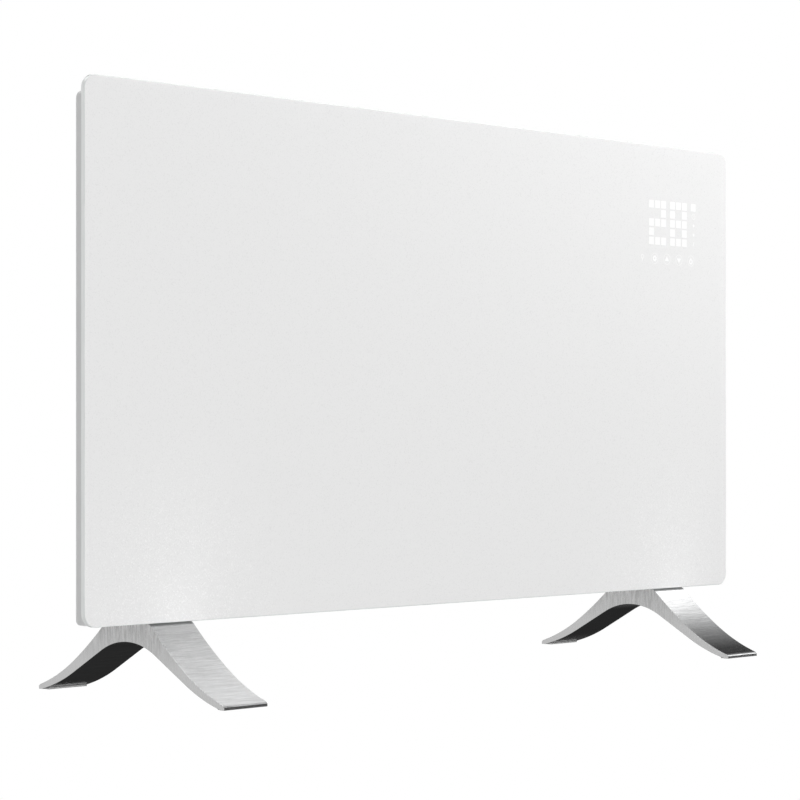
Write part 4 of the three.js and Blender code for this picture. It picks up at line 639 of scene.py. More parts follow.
def add_status_marks():
    """Below the degree block: a clock, two dots and a stroke."""
    x = display_left + STATUS_MARGIN[0]
    clock, upper, lower, stroke = (
        Vector((x, display_top - STATUS_MARGIN[1] - i * STATUS_PITCH)) for i in range(4))
    lit_shape("clock", ring(clock, *CLOCK), LIT_FAINT)
    hand = rectangle(clock + Vector(CLOCK_HAND_SHIFT), *CLOCK_HAND, 2)
    lit_shape("clock_hand", [hand], LIT_FAINT)
    lit_shape("dot_upper", [circle(upper, DOT_RADII[0], 32)])
    lit_shape("dot_lower", [circle(lower, DOT_RADII[1], 32)], LIT_MIDDLE)
    corners = ((-1, -1), (-1, 1), (1, 1), (1, -1))
    corners = [stroke + along * STROKE_LEAN + across * STROKE_ACROSS for along, across in corners]
    lit_shape("stroke", [corners], LIT_FAINT)


def gear(middle, root, crest, teeth=8):
    radii = (root, root, crest, crest, root)
    return [middle + polar(2 * math.pi * (tooth + share) / teeth, radius)
            for tooth in range(teeth) for share, radius in zip((0.0, *TOOTH), radii)]


def arrow(middle, half, height):
    """An arrow head, which points down for a negative height."""
    corners = ((-half, -height / 2), (half, -height / 2), (0, height / 2))
    return [middle + Vector(corner) for corner in corners]


def add_key_marks():
    """A pin, a gear, two arrows and a power mark, the last four in thin rings."""
    y = display_top - KEY_MARGIN[1]
    pin, setting, up, down, power = (
        Vector((display_left + KEY_MARGIN[0] + i * KEY_PITCH, y)) for i in range(KEY_COUNT))
    head = pin + Vector((0, PIN_RISE))
    lit_shape("pin_head", ring(head, *PIN_HEAD), LIT_FAINT)
    tail = [head + Vector(corner) * MM for corner in PIN_TAIL]
    lit_shape("pin_tail", [tail], LIT_FAINT)
    lit_shape("gear", [gear(setting, *GEAR), circle(setting, GEAR_HOLE, 24)])
    half, height = ARROW
    lit_shape("arrow_up", [arrow(up + MARK_SHIFT, half, height)])
    lit_shape("arrow_down", [arrow(down - MARK_SHIFT, half, -height)])
    lit_shape("power_ring", ring(power - MARK_SHIFT, *POWER_RING))
    lit_shape("power_bar", [rectangle(power + 3 * MARK_SHIFT, *POWER_BAR, 4)])
    for name, middle in (("gear", setting), ("up", up), ("down", down), ("power", power)):
        lit_shape(f"key_ring_{name}", ring(middle, KEY_RING, KEY_LINE, 64), LIT_FAINT)


# -------- rear casing and grille

SHEET = 0.9 * MM
SEAT_GAP = 0.3 * MM
RIM_DEPTH = 24.2 * MM
RIM_SIDE_INSET = 10 * MM
RIM_TOP_INSET = 11.5 * MM
RIM_CORNER = 4 * MM
WALL_SIDE_INSET = 42 * MM
WALL_TOP_INSET = 48 * MM
WALL_CORNER = 14 * MM
RIM_FOLD = 3 * MM
WALL_FOLD = 6 * MM
FOLD_STEPS = 8
CORNER_STEPS = 8
FLOOR_SLOT = mm(30, 6)
FLOOR_SLOT_PITCH = mm(38, 13)
FLOOR_SLOT_MARGIN = 22 * MM
WALL_SLOT = mm(7, 28)
WALL_SLOT_PITCH = 26 * MM
WALL_SLOT_MARGIN = 40 * MM
WALL_SLOT_HEIGHT = 38 * MM
GRILLE_HEIGHT = 34 * MM
GRILLE_SIDE_INSET = 107 * MM
SCREW_HOLE = 2.1 * MM  # radius, as for each round hole
FOOT_SCREW_HOLE = 3.4 * MM
FOOT_SCREW_SPACING = 20 * MM
HOOK_WINDOW = mm(26, 36, 3)  # width, height and corner
GLAND_HOLE = 8 * MM
SWITCH_OPENING = mm(13, 21.6)
CUT_DEPTH = 4 * MM
GRILLE_CUT_DEPTH = 6 * MM

casing_low, casing_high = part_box("rear_casing")
rim_fold_y = glass_low.y + RIM_DEPTH
wall_y = casing_high.y
foot_low, foot_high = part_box("foot_right")
foot_middle_x = (foot_low.x + foot_high.x) / 2
SCREW_NAMES = [f"casing_screw_{i}" for i in range(1, 7)]
FLAT = 0.99998  # cosine from which a face lies in a flat


def middle_of(node):
    low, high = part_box(node)
    return (low + high) / 2


def casing_ring(y, share, lift, offset):
    side = lerp(RIM_SIDE_INSET, WALL_SIDE_INSET, share) + offset
    top = lerp(RIM_TOP_INSET, WALL_TOP_INSET, share) + offset
    radius = lerp(RIM_CORNER, WALL_CORNER, share) - offset
    low = casing_low.z + lift + offset
    high = glass_high.z - top
    outline = rectangle((0, (low + high) / 2), 2 * (glass_high.x - side), high - low, radius,
                        CORNER_STEPS)
    return [Vector((point.x, y, point.y)) for point in outline]


def casing_shape(offset, front_y):
    """The folded sheet's outer form, or its inner one for an offset of the sheet's thickness."""
    width = WALL_SIDE_INSET - RIM_SIDE_INSET
    run = wall_y - rim_fold_y
    slope = math.atan2(width, run)
    fold_y = rim_fold_y - offset * math.tan(slope / 2)
    back_y = wall_y - offset
    back_share = 1 + offset * math.tan(math.pi / 4 - slope / 2) / width
    length = math.hypot(run, width)

    def on_shoulder(share):
        return Vector((lerp(fold_y, back_y, share), back_share * share, 0))

    before_fold = Vector((fold_y - RIM_FOLD, 0, 0))
    after_wall_fold = Vector((back_y, back_share + WALL_FOLD / length, WALL_FOLD / 2))
    start = on_shoulder(1 - WALL_FOLD / length)
    stations = [Vector((front_y, 0, 0)), before_fold,
                *curve(before_fold, on_shoulder(0), on_shoulder(RIM_FOLD / length), FOLD_STEPS),
                start, *curve(start, on_shoulder(1), after_wall_fold, FOLD_STEPS)]
    return loft([casing_ring(*station, offset) for station in stations])


def shoulder_axes():
    """The upper shoulder's own frame: across, down the slope and out."""
    start = Vector((0, rim_fold_y, glass_high.z - RIM_TOP_INSET))
    end = Vector((0, wall_y, glass_high.z - WALL_TOP_INSET))
    across = Vector((1, 0, 0))
    down = (end - start).normalized()
    axes = Matrix((across, down, across.cross(down))).transposed()
    return Matrix.Translation((start + end) / 2) @ axes.to_4x4()


def spread(length, pitch):
    """Even places about zero, as many as fit in a length."""
    count = int(length / pitch + TINY) + 1
    return [pitch * (i - (count - 1) / 2) for i in range(count)]


def floor_cutter(loop):
    return placed(prism([loop], CUT_DEPTH), (0, 0, casing_low.z))


def wall_cutter(loop):
    return placed(prism([loop], CUT_DEPTH), (0, wall_y, 0), FACING_FRONT)


def slot_cutters():
    floor_length = 2 * (foot_low.x - FLOOR_SLOT_MARGIN) - FLOOR_SLOT[0]
    for x in spread(floor_length, FLOOR_SLOT_PITCH[0]):
        for side in (-1, 1):
            middle = (x, side * FLOOR_SLOT_PITCH[1] / 2)
            yield floor_cutter(rectangle(middle, *FLOOR_SLOT, FLOOR_SLOT[1] / 2, 6))
    wall_length = 2 * (foot_low.x - WALL_SLOT_MARGIN) - WALL_SLOT[0]
    for x in spread(wall_length, WALL_SLOT_PITCH):
        middle = (x, casing_low.z + WALL_SLOT_HEIGHT)
        yield wall_cutter(rectangle(middle, *WALL_SLOT, WALL_SLOT[0] / 2, 6))


def fitting_cutters():
    for name in SCREW_NAMES:
        middle = middle_of(name)
        yield wall_cutter(circle((middle.x, middle.z), SCREW_HOLE, 24))
    for side in (-1, 1):
        for end in (-1, 1):
            place = (side * foot_middle_x, end * FOOT_SCREW_SPACING / 2)
            yield floor_cutter(circle(place, FOOT_SCREW_HOLE, 24))
    for name in ("hook_plate_left", "hook_plate_right"):
        middle = middle_of(name)
        yield wall_cutter(rectangle((middle.x, middle.z), *HOOK_WINDOW, 6))
    gland = middle_of("cable_gland")
    yield wall_cutter(circle((gland.x, gland.z), GLAND_HOLE, 40))
    switch = middle_of("main_switch_housing")
    opening = block((CUT_DEPTH, *SWITCH_OPENING))
    yield placed(opening, (casing_high.x, switch.y, switch.z))
    hole = block((2 * (glass_high.x - GRILLE_SIDE_INSET), GRILLE_HEIGHT, GRILLE_CUT_DEPTH))
    hole.transform(shoulder_axes())
    yield hole


def shade_casing(solid):
    """Flat faces stay flat, so that only the folds and corners shade round."""
    shoulder = shoulder_axes().to_3x3().col[2]
    side = Vector((wall_y - rim_fold_y, WALL_SIDE_INSET - RIM_SIDE_INSET)).normalized()
    flats = [*Matrix.Identity(3), shoulder,
             Vector((side.x, side.y, 0)), Vector((-side.x, side.y, 0))]
    for face in solid.faces:
        face.smooth = all(abs(face.normal.dot(flat)) < FLAT for flat in flats)


def add_casing():
    inside = casing_shape(SHEET, casing_low.y - SHEET)
    cutters = [*slot_cutters(), *fitting_cutters()]
    solid = cut(casing_shape(0, casing_low.y), [inside], cutters)
    solid.normal_update()
    shade_casing(solid)
    piece("casing_shell", solid, "white_paint", ["rear_casing"])


GRILLE_FLANGE = 2.6 * MM
GRILLE_FLANGE_THICKNESS = 1.2 * MM
GRILLE_NECK_DEPTH = 7.5 * MM
GRILLE_WALL = 1.6 * MM
GRILLE_RIB = mm(1.4, 3.4)
GRILLE_RIB_PITCH = 80 * MM
LOUVRE = mm(8, 1.3)
LOUVRE_COUNT = 5
LOUVRE_TILT = 38  # degrees
LOUVRE_ROUNDING = 0.48  # of its thickness
GRILLE_CORNERS = mm(0.8, 2, 1.2)  # of its opening, flange and neck
GRILLE_EDGES = mm(0.35, 0.2, 0.3)  # of its flange, neck and ribs


def add_grille():
    neck = Vector((glass_high.x - GRILLE_SIDE_INSET - SEAT_GAP, GRILLE_HEIGHT / 2 - SEAT_GAP))
    flange_top = SEAT_GAP + GRILLE_FLANGE_THICKNESS
    growth = (-GRILLE_WALL, GRILLE_FLANGE, 0)
    opening, outer, neck_outline = (
        rectangle((0, 0), 2 * (neck.x + step), 2 * (neck.y + step), corner, steps)
        for step, corner, steps in zip(growth, GRILLE_CORNERS, (5, 6, 5)))
    flange = prism([outer, opening], GRILLE_FLANGE_THICKNESS, GRILLE_EDGES[0], 3)
    solids = [placed(flange, (0, 0, SEAT_GAP + GRILLE_FLANGE_THICKNESS / 2))]
    depth = GRILLE_NECK_DEPTH + flange_top / 2
    wall = prism([neck_outline, opening], depth, GRILLE_EDGES[1], 2)
    solids.append(placed(wall, (0, 0, -GRILLE_NECK_DEPTH + depth / 2)))
    pitch = 2 * (neck.y - GRILLE_WALL) / LOUVRE_COUNT
    tilt = math.radians(LOUVRE_TILT)
    height = flange_top - LOUVRE[0] / 2 * math.sin(tilt) - LOUVRE[1] / 2
    inside = neck.x - GRILLE_WALL / 2
    for i in range(LOUVRE_COUNT):
        section = rectangle((0, 0), *LOUVRE, LOUVRE[1] * LOUVRE_ROUNDING, 5)
        blade = placed(prism([section], 2 * inside), turn=FACING_SIDE)
        blade.transform(Matrix.Rotation(-tilt, 4, "X"))
        solids.append(placed(blade, (0, pitch * (i + 0.5 - LOUVRE_COUNT / 2), height)))
    for x in spread(2 * (inside - GRILLE_RIB_PITCH / 2), GRILLE_RIB_PITCH):
        size = (GRILLE_RIB[0], 2 * (neck.y - GRILLE_WALL / 2), GRILLE_RIB[1])
        rib = block(size, GRILLE_EDGES[2])
        solids.append(placed(rib, (x, 0, -GRILLE_NECK_DEPTH + GRILLE_RIB[1] / 2)))
    grille = together(solids)
    grille.transform(shoulder_axes())
    piece("outlet_louvres", grille, "white_plastic", ["outlet_grille"])


# -------- screws and fittings

PAN_HEAD = 2.1 * MM
PAN_SHANK = 1.7 * MM  # radius
PAN_PROFILE = ((0.98, 0.45), (0.6, 1.0), (0, 1.0))  # shares of the head's radius and height
PAN_SOFTENING = 0.5 * MM
RECESS = (1.15, 0.26)  # length and width of the cross, as shares of the head's radius
RECESS_BLOCK = 2 * MM
RECESS_EDGE = 0.1 * MM
GLAND_NECK = 7.7 * MM  # radius
GLAND_BORE = 4.4 * MM  # radius
GLAND_RING = 3 * MM  # thickness of the flange inside the wall
GLAND_CHAMFERS = mm(0.6, 0.8)  # at the rim and at the bore
GLAND_SOFTENING = 0.5 * MM
KEYHOLE_MOUTH = 6.5 * MM  # radius
KEYHOLE_SLOT = 3.5 * MM  # half its width
KEYHOLE_LENGTH = 13 * MM  # between the middles of the mouth and of the slot's round end
KEYHOLE_STEPS = (30, 16)
HOOK_PLATE_CORNER = 3 * MM
HOOK_PLATE_EDGE = 0.25 * MM


def add_casing_screws():
    """Pan heads with a cross recess."""
    for name in SCREW_NAMES:
        low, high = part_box(name)
        radius = (high.x - low.x) / 2
        length = high.y - low.y - PAN_HEAD
        crown = [(radius * across, PAN_HEAD * up) for across, up in PAN_PROFILE]
        profile = [(0, -length), (PAN_SHANK, -length), (PAN_SHANK, 0), (radius, 0), *crown]
        arms = (block((radius * x, radius * y, RECESS_BLOCK), RECESS_EDGE)
                for x, y in (RECESS, RECESS[::-1]))
        arms = ([placed(arm, (0, 0, PAN_HEAD + RECESS_EDGE))] for arm in arms)
        solid = cut(lathe(softened(profile, PAN_SOFTENING, 4)), *arms)
        place = ((low.x + high.x) / 2, high.y - PAN_HEAD, (low.z + high.z) / 2)
        solid = placed(smooth(solid), place, FACING_BACK)
        piece(f"screw_{name[-1]}", solid, "zinc_steel", [name], BRIGHT_SCREW)


def add_gland():
    low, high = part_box("cable_gland")
    flange = (high.x - low.x) / 2
    rim, mouth = GLAND_CHAMFERS
    inner = wall_y - SHEET - SEAT_GAP
    outer = wall_y + SEAT_GAP
    profile = [(GLAND_BORE, low.y), (GLAND_NECK, low.y), (GLAND_NECK, inner - GLAND_RING),
               (flange, inner - GLAND_RING), (flange, inner), (GLAND_NECK, inner),
               (GLAND_NECK, outer), (flange, outer), (flange - rim, high.y),
               (GLAND_BORE + mouth, high.y), (GLAND_BORE, high.y - mouth)]
    solid = lathe(softened([*profile, profile[0]], GLAND_SOFTENING, 4)[:-1], 56, ring=True)
    middle = middle_of("cable_gland")
    solid = placed(solid, (middle.x, 0, middle.z), FACING_BACK)
    piece("gland_bush", solid, "dark_plastic", ["cable_gland"])


def keyhole(middle):
    """A round mouth with a narrower slot above it."""
    centre = Vector(middle) - Vector((0, KEYHOLE_LENGTH / 2))
    meet = math.asin(KEYHOLE_SLOT / KEYHOLE_MOUTH)
    arcs = ((centre, KEYHOLE_MOUTH, math.pi / 2 + meet, 2 * math.pi - 2 * meet),
            (centre + Vector((0, KEYHOLE_LENGTH)), KEYHOLE_SLOT, 0, math.pi))
    points = []
    for (place, radius, first, sweep), steps in zip(arcs, KEYHOLE_STEPS):
        points += [place + polar(first + sweep * i / steps, radius) for i in range(steps + 1)]
    return points


def add_hook_plates():
    for side in ("left", "right"):
        low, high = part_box(f"hook_plate_{side}")
        middle = (low + high) / 2
        flat = (middle.x, middle.z)
        outline = rectangle(flat, high.x - low.x, high.z - low.z, HOOK_PLATE_CORNER, 6)
        solid = prism([outline, keyhole(flat)], high.y - low.y, HOOK_PLATE_EDGE, 3)
        piece(f"wall_hook_plate_{side}", placed(solid, (0, middle.y, 0), FACING_FRONT),
              "zinc_steel", [f"hook_plate_{side}"])


# -------- arched feet

FOOT_TOP_HALF = 28.2 * MM
FOOT_TOP_BEND = 3 * MM
FOOT_KNEE = mm(29.2, 11.1)  # setback from the tip and height, as below
FOOT_TOE = mm(1.4, 4.2)
FOOT_LIP = 1.7 * MM
ARCH_HEIGHT = 48.8 * MM
ARCH_CROWN_RUN = 19.3 * MM
ARCH_KNEE = mm(31.9, 8)
ARCH_END = mm(12.5, 2.4)
PAD_THICKNESS = 1.8 * MM
PAD_SIDE_MARGIN = 2 * MM
FOOT_HOLLOW = 1.05 * MM  # how far the slope dips between its ends
FOOT_EDGE = 0.25 * MM
FOOT_SHARP = 28  # degrees
PAD_CORNER = 1.5 * MM
PAD_EDGE = 0.4 * MM
SCREW_POCKET = 5.4 * MM
SCREW_SEAT_HEIGHT = 55.5 * MM
SOCKET_HEAD = 6 * MM
SOCKET_SHANK = 3 * MM  # radius
SOCKET = mm(2.9, 6)  # radius, and twice its depth
SOCKET_SOFTENING = 0.4 * MM


def foot_half_outline(tip, height, sole):
    top_corner = Vector((FOOT_TOP_HALF, height))
    knee, toe_end, arch_knee, arch_end = (
        Vector((tip - back, up)) for back, up in (FOOT_KNEE, FOOT_TOE, ARCH_KNEE, ARCH_END))
    fall = (knee - top_corner).normalized()
    toe_start = knee - fall * (knee - toe_end).length
    crown_corner = Vector((ARCH_CROWN_RUN, ARCH_HEIGHT))
    sole_start = arch_knee.lerp(arch_end, (ARCH_KNEE[1] - sole) / (ARCH_KNEE[1] - ARCH_END[1]))
    arch_fall = (arch_knee - crown_corner).normalized()
    crown_end = crown_corner + arch_fall * ARCH_CROWN_RUN
    arch_toe = arch_knee - arch_fall * (arch_knee - arch_end).length
    bend_start = top_corner - Vector((FOOT_TOP_BEND, 0))
    bend_end = top_corner + fall * FOOT_TOP_BEND
    out = Vector((-fall.y, fall.x))
    hollow = (bend_end + toe_start) / 2 - out * 2 * FOOT_HOLLOW
    foot_of_slope = toe_start + (toe_start - hollow).normalized() * (knee - toe_start).length
    return [bend_start, *curve(bend_start, top_corner, bend_end, 8),
            *curve(bend_end, hollow, toe_start, 12), *curve(toe_start, foot_of_slope, toe_end, 20),
            Vector((tip, FOOT_TOE[1] - FOOT_TOE[0])), Vector((tip, sole)),
            sole_start, arch_end, *curve(arch_end, arch_knee, arch_toe, 20),
            crown_end, *curve(crown_end, crown_corner, Vector((0, ARCH_HEIGHT)), 16)]


def pad_pocket(middle_x, end, size):
    """The pad's pocket, closed at the tip and the sides and open towards the arch."""
    inner = size.y / 2 - ARCH_END[0]
    outer = size.y / 2 - FOOT_LIP
    height = 2 * (PAD_THICKNESS + SEAT_GAP)
    pocket = block((size.x - 2 * (PAD_SIDE_MARGIN - SEAT_GAP), outer - inner, height))
    return placed(pocket, (middle_x, end * (inner + outer) / 2, 0))


def foot_solid(low, high):
    half = foot_half_outline(high.y, high.z, low.z)
    mirrored = [Vector((-point.x, point.y)) for point in reversed(half[:-1])]
    solid = prism([[*half, *mirrored]], high.x - low.x, FOOT_EDGE, 5)
    middle_x = (low.x + high.x) / 2
    solid = placed(solid, (middle_x, 0, 0), FACING_SIDE)
    for end in (-1, 1):
        place = (middle_x, end * FOOT_SCREW_SPACING / 2)
        pocket = prism([circle(place, SCREW_POCKET, 32)], SCREW_SEAT_HEIGHT)
        shank = prism([circle(place, FOOT_SCREW_HOLE, 24)], 2 * high.z)
        solid = cut(solid, [placed(pocket, (0, 0, SCREW_SEAT_HEIGHT / 2))],
                    [placed(shank, (0, 0, high.z))], [pad_pocket(middle_x, end, high - low)])
    return solid


def shade_foot(solid):
    """The two side faces are flat and take the first look, all else the second."""
    for face in solid.faces:
        flat = abs(face.normal.x) > FLAT
        face.smooth = not flat
        face.material_index = 0 if flat else 1


def add_feet():
    look = (BRUSHED_SIDE, SLOT_LOOKS["brushed_metal"])
    for side in ("left", "right"):
        solid = foot_solid(*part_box(f"foot_{side}"))
        solid.normal_update()
        shade_foot(solid)
        piece(f"arched_foot_{side}", solid, "brushed_metal", [f"foot_{side}"], look,
              sharp=FOOT_SHARP)
        for end in ("front", "rear"):
            add_pad(f"{side}_{end}")
            add_foot_screw(f"{side}_{end}")


def add_pad(where):
    low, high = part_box(f"foot_pad_{where}")
    size = high - low
    solid = prism([rectangle((0, 0), size.x, size.y, PAD_CORNER, 5)], size.z, PAD_EDGE, 3)
    piece(f"sole_pad_{where}", placed(solid, (low + high) / 2), "grey_rubber",
          [f"foot_pad_{where}"])


def add_foot_screw(where):
    """A socket-head screw, its head down in the crown of the arch."""
    low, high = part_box(f"foot_screw_{where}")
    head = (high.x - low.x) / 2
    head_top = low.z + SOCKET_HEAD
    profile = softened([(0, low.z), (head, low.z), (head, head_top), (SOCKET_SHANK, head_top),
                        (SOCKET_SHANK, high.z), (0, high.z)], SOCKET_SOFTENING)
    socket = placed(prism([circle((0, 0), SOCKET[0], 6)], SOCKET[1]), (0, 0, low.z))
    solid = smooth(cut(lathe(profile), [socket]))
    middle = (low + high) / 2
    piece(f"socket_screw_{where}", placed(solid, (middle.x, middle.y, 0)), "zinc_steel",
          [f"foot_screw_{where}"], BRIGHT_SCREW)


# -------- mains switch

SWITCH_BEZEL_THICKNESS = 1.8 * MM
SWITCH_POCKET = mm(10.2, 17.4)
SWITCH_BODY = mm(12.4, 21)
SWITCH_CORNERS = mm(0.6, 2)  # of its pocket and body, and of its bezel
SWITCH_EDGES = mm(0.5, 0.2, 0.3)  # of its bezel, tube and rear
SWITCH_TUBE_DEPTH = 6 * MM
SWITCH_OVERLAP = 0.4 * MM
ROCKER_THROW = 14  # degrees
ROCKER_HALF_HEIGHT = 8 * MM
ROCKER_FACE = 2.6 * MM
ROCKER_DISH = 1.3 * MM
ROCKER_SKIRT = 2.2 * MM
ROCKER_PIN = 1.1 * MM
ROCKER_SIDE_GAPS = 1.6 * MM  # both together, between its pins' ends and its sides
ROCKER_EDGES = mm(0.3, 0.1)  # of its body and its pins
MARK_DEPTH = 0.3 * MM
MARK_PROUD = 0.09 * MM
MARK_HEIGHT = 4.6 * MM  # above and below the rocker's middle
ON_MARK = mm(0.7, 3.2, 0.3)
OFF_MARK = mm(1.7, 0.6)


def add_switch_housing():
    low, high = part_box("main_switch_housing")
    middle = ((low.y + high.y) / 2, (low.z + high.z) / 2)
    pocket, body = (rectangle(middle, *size, SWITCH_CORNERS[0], 4)
                    for size in (SWITCH_POCKET, SWITCH_BODY))
    frame_outline = rectangle(middle, high.y - low.y, high.z - low.z, SWITCH_CORNERS[1])
    tube_front = high.x - SWITCH_BEZEL_THICKNESS + SWITCH_OVERLAP
    tube_back = tube_front - SWITCH_TUBE_DEPTH
    parts = (([frame_outline, pocket], high.x - SWITCH_BEZEL_THICKNESS, high.x, 4),
             ([body, pocket], tube_back, tube_front, 2),
             ([body], low.x, tube_back, 2))
    solids = []
    for (loops, back, front, steps), edge in zip(parts, SWITCH_EDGES):
        solid = prism(loops, front - back, edge, steps)
        solids.append(placed(solid, ((back + front) / 2, 0, 0), FACING_SIDE))
    piece("switch_bezel", together(solids), "dark_plastic", ["main_switch_housing"])


def rocker_outline():
    half = Vector((0, ROCKER_HALF_HEIGHT))
    depths = (ROCKER_FACE, ROCKER_FACE - 2 * ROCKER_DISH, -2 * ROCKER_SKIRT)
    face, dish, skirt = (Vector((depth, 0)) for depth in depths)
    return [face - half, *curve(face - half, dish, face + half, 16), half,
            *curve(half, skirt, -half, 16)]


def rocker_mark(loops, height):
    """A white mark on the face of the rocker, at a height from its middle."""
    share = (height / ROCKER_HALF_HEIGHT + 1) / 2
    depth = ROCKER_FACE - 4 * ROCKER_DISH * share * (1 - share)
    slope = math.atan(-2 * ROCKER_DISH * (1 - 2 * share) / ROCKER_HALF_HEIGHT)
    solid = placed(prism(loops, MARK_DEPTH), turn=FACING_SIDE)
    solid.transform(Matrix.Rotation(slope, 4, "Y"))
    return placed(solid, (depth - MARK_DEPTH / 2 + MARK_PROUD, 0, height))


def add_rocker():
    joint = next(j for j in frame["joints"] if j["name"] == "main_switch_rock")
    pivot = Vector(joint["pos_m"])
    low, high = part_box("main_switch_rocker")
    length = high.y - low.y
    body = prism([rocker_outline()], length - ROCKER_SIDE_GAPS, ROCKER_EDGES[0], 3)
    pins = prism([circle((0, 0), ROCKER_PIN, 24)], length, ROCKER_EDGES[1], 2)
    rocker = placed(together([body, pins]), turn=FACING_FRONT)
    turn = Matrix.Translation(pivot) @ Matrix.Rotation(math.radians(ROCKER_THROW / 2), 4, "Y")
    rocker.transform(turn)
    piece("rocker_key", rocker, "dark_plastic", ["main_switch_rocker"], body="switch_rocker")
    for name, height, loops in (("on", MARK_HEIGHT, [rectangle((0, 0), *ON_MARK, 3)]),
                                ("off", -MARK_HEIGHT, ring((0, 0), *OFF_MARK, 32))):
        mark = rocker_mark(loops, height)
        mark.transform(turn)
        piece(f"rocker_mark_{name}", mark, "white_plastic", body="switch_rocker")


# -------- stage and light

FLOOR_HALF_SIDE = 4.0
FLOOR_DROP = 0.2 * MM  # below the soles

# The world's levels fade between pairs of direction coordinates, the sines of angles.
SKY_LEVEL = 2.25
SKY_RISE = (0.595, 0.642)  # heights at which it fades in
SKY_FRONT = (0.12, -0.145, 0.03)  # its share in front, and where that grows to all of it
SKY_END = (0.35, 0.6)  # where it fades out to the right
SIDE_LEVELS = (0.64, 0.085)  # on the left and on the right
SIDE_END = (-0.5, 0.3)  # where it falls from one to the other
SIDE_BOTTOM = (0.05, -0.5, -0.25)  # its share low down, and where that grows to all of it
SIDE_TOP = (0.3, 0.25, 0.5)  # its share high up, and where it falls to that
GROUND_LEVELS = (0.031, 0.008)  # straight down and towards the horizon
GROUND_RISE = (-0.6, -0.3)
# Patches: level, direction, and the angles of the outer and inner edge of the rim, in degrees.
GLEAM_PLACE = (0.83, -0.243, 0.499)  # what the right foot's slope reflects
PATCHES = (
    (5.5, (0.845, -0.38, 0.375), 26, 16),  # sheen on the right of the glass
    (0.9, (-0.15, -0.96, 0.1), 45, 25),  # in front
    (1.6, GLEAM_PLACE, 23.1, 19.2),
    (0.4, GLEAM_PLACE, 38, 20),
    (0.7, (1, 0.25, 0.05), 26, 12),  # on the right
)
FILLS = (  # name, direction it comes from and strength
    ("front_fill", (0.3, -1, 0.25), 0.6),
    ("left_fill", (-1, 0.35, 0.2), 0.04),
    ("back_fill", (0.2, 1, 0.45), 1.3),
    ("low_fill", (0, 0.6, -1), 2.4),
    ("low_front_fill", (-0.3, -0.6, -1), 0.5),
)
FILL_ANGLE = 80  # degrees
GLOW_POWER = 0.036  # watts
GLOW_PLACE = mm(-110, 20)  # in y and z
GLOW_SHIFT = 9 * MM  # to the right of the middle of the foot
GLOW_RADIUS = 6 * MM
GLOW_HALF_ANGLE = 50  # degrees
GLOW_NARROWING = 0.45
GLOW_RISE = 48  # degrees above level


class World(Graph):
    """A studio of soft patches that surfaces and reflections see; the camera sees plain white."""

    easing = "SMOOTHSTEP"

    def __init__(self):
        world = bpy.data.worlds.new("studio")
        bpy.context.scene.world = world
        super().__init__(world)
        self.tree.nodes.clear()
        self.direction = self.node("TexCoord").outputs["Generated"]
        parts = self.node("SeparateXYZ", {"Vector": self.direction})
        self.x, self.y, self.z = (parts.outputs[axis] for axis in "XYZ")

    def patch(self, level, direction, outer, inner):
        inputs = {0: self.direction, 1: Vector(direction).normalized()}
        nearness = self.node("VectorMath", inputs, operation="DOT_PRODUCT").outputs["Value"]
        edges = (math.cos(math.radians(angle)) for angle in (outer, inner))
        return self.ramp(nearness, 0.0, level, *edges)

    def background(self, strength):
        inputs = {"Color": (1, 1, 1, 1), "Strength": strength}
        return self.node("Background", inputs).outputs["Background"]


def add_world():
    world = World()
    sky = world.math("MULTIPLY", world.ramp(world.z, 0.0, SKY_LEVEL, *SKY_RISE),
                     world.ramp(world.y, SKY_FRONT[0], 1.0, *SKY_FRONT[1:]),
                     world.ramp(world.x, 1.0, 0.0, *SKY_END))
    side = world.math("MULTIPLY", world.ramp(world.x, *SIDE_LEVELS, *SIDE_END),
                      world.ramp(world.z, SIDE_BOTTOM[0], 1.0, *SIDE_BOTTOM[1:]),
                      world.ramp(world.z, 1.0, SIDE_TOP[0], *SIDE_TOP[1:]))
    ground = world.ramp(world.z, *GROUND_LEVELS, *GROUND_RISE)
    patches = (world.patch(*patch) for patch in PATCHES)
    level = world.math("MAXIMUM", sky, side, ground, *patches)
    mix = world.node("MixShader", {"Fac": world.node("LightPath").outputs["Is Camera Ray"],
                                   1: world.background(level), 2: world.background(1.0)})
    world.node("OutputWorld", {"Surface": mix.outputs["Shader"]})


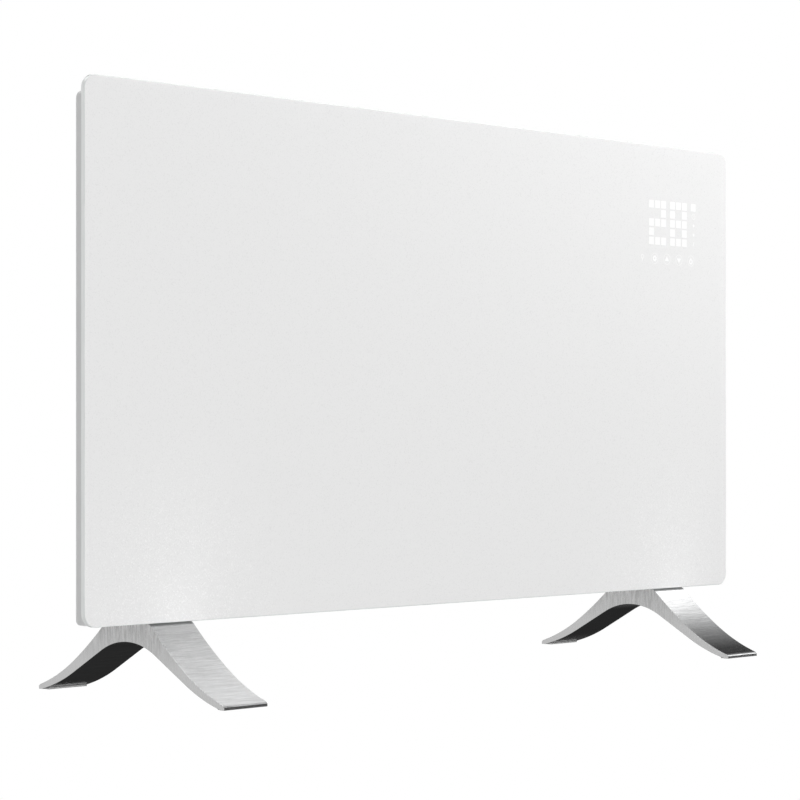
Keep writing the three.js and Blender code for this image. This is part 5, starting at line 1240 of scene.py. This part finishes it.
def add_floor():
    """A plain white floor that carries no shadow and is clear from below."""
    solid = bmesh.new()
    bmesh.ops.create_grid(solid, x_segments=1, y_segments=1, size=FLOOR_HALF_SIDE)
    floor = add_object("floor", as_mesh("floor", placed(solid, (0, 0, -FLOOR_DROP))))
    material = bpy.data.materials.new("floor")
    graph = Graph(material)
    graph.tree.nodes.clear()
    inputs = {"Fac": graph.node("NewGeometry").outputs["Backfacing"],
              1: graph.node("Emission").outputs["Emission"],
              2: graph.node("BsdfTransparent").outputs["BSDF"]}
    mix = graph.node("MixShader", inputs)
    graph.node("OutputMaterial", {"Surface": mix.outputs["Shader"]})
    floor.data.materials.append(material)
    floor.visible_diffuse = False
    floor.visible_glossy = False
    floor.visible_shadow = False


def add_lamp(name, kind, power):
    """A lamp that neither the camera nor a reflection shows."""
    data = bpy.data.lights.new(name, kind)
    data.energy = power
    lamp = add_object(name, data)
    lamp.visible_camera = False
    lamp.visible_glossy = False
    return lamp


def add_fill(name, source, strength):
    """A broad distant light."""
    lamp = add_lamp(name, "SUN", strength)
    lamp.data.angle = math.radians(FILL_ANGLE)
    lamp.rotation_euler = Vector(source).to_track_quat("Z", "Y").to_euler()


def add_glow(side):
    """Light that a foot's hollow slope throws up onto the glass, as a fan."""
    lamp = add_lamp(f"glow_{side}", "SPOT", GLOW_POWER)
    lamp.data.shadow_soft_size = GLOW_RADIUS
    lamp.data.spot_size = math.radians(2 * GLOW_HALF_ANGLE)
    lamp.data.spot_blend = 1.0
    lamp.location = (side * foot_middle_x + GLOW_SHIFT, *GLOW_PLACE)
    lamp.rotation_euler = (math.radians(90 + GLOW_RISE), 0, 0)
    lamp.scale.x = GLOW_NARROWING


def add_lights():
    for fill in FILLS:
        add_fill(*fill)
    for side in (-1, 1):
        add_glow(side)


# -------- assembly

add_camera()
dress_nodes()
add_glass()
add_digits()
add_status_marks()
add_key_marks()
add_casing()
add_grille()
add_casing_screws()
add_gland()
add_hook_plates()
add_feet()
add_switch_housing()
add_rocker()
add_world()
add_floor()
add_lights()

view = bpy.context.scene.view_settings
view.view_transform = "Standard"
view.look = "None"
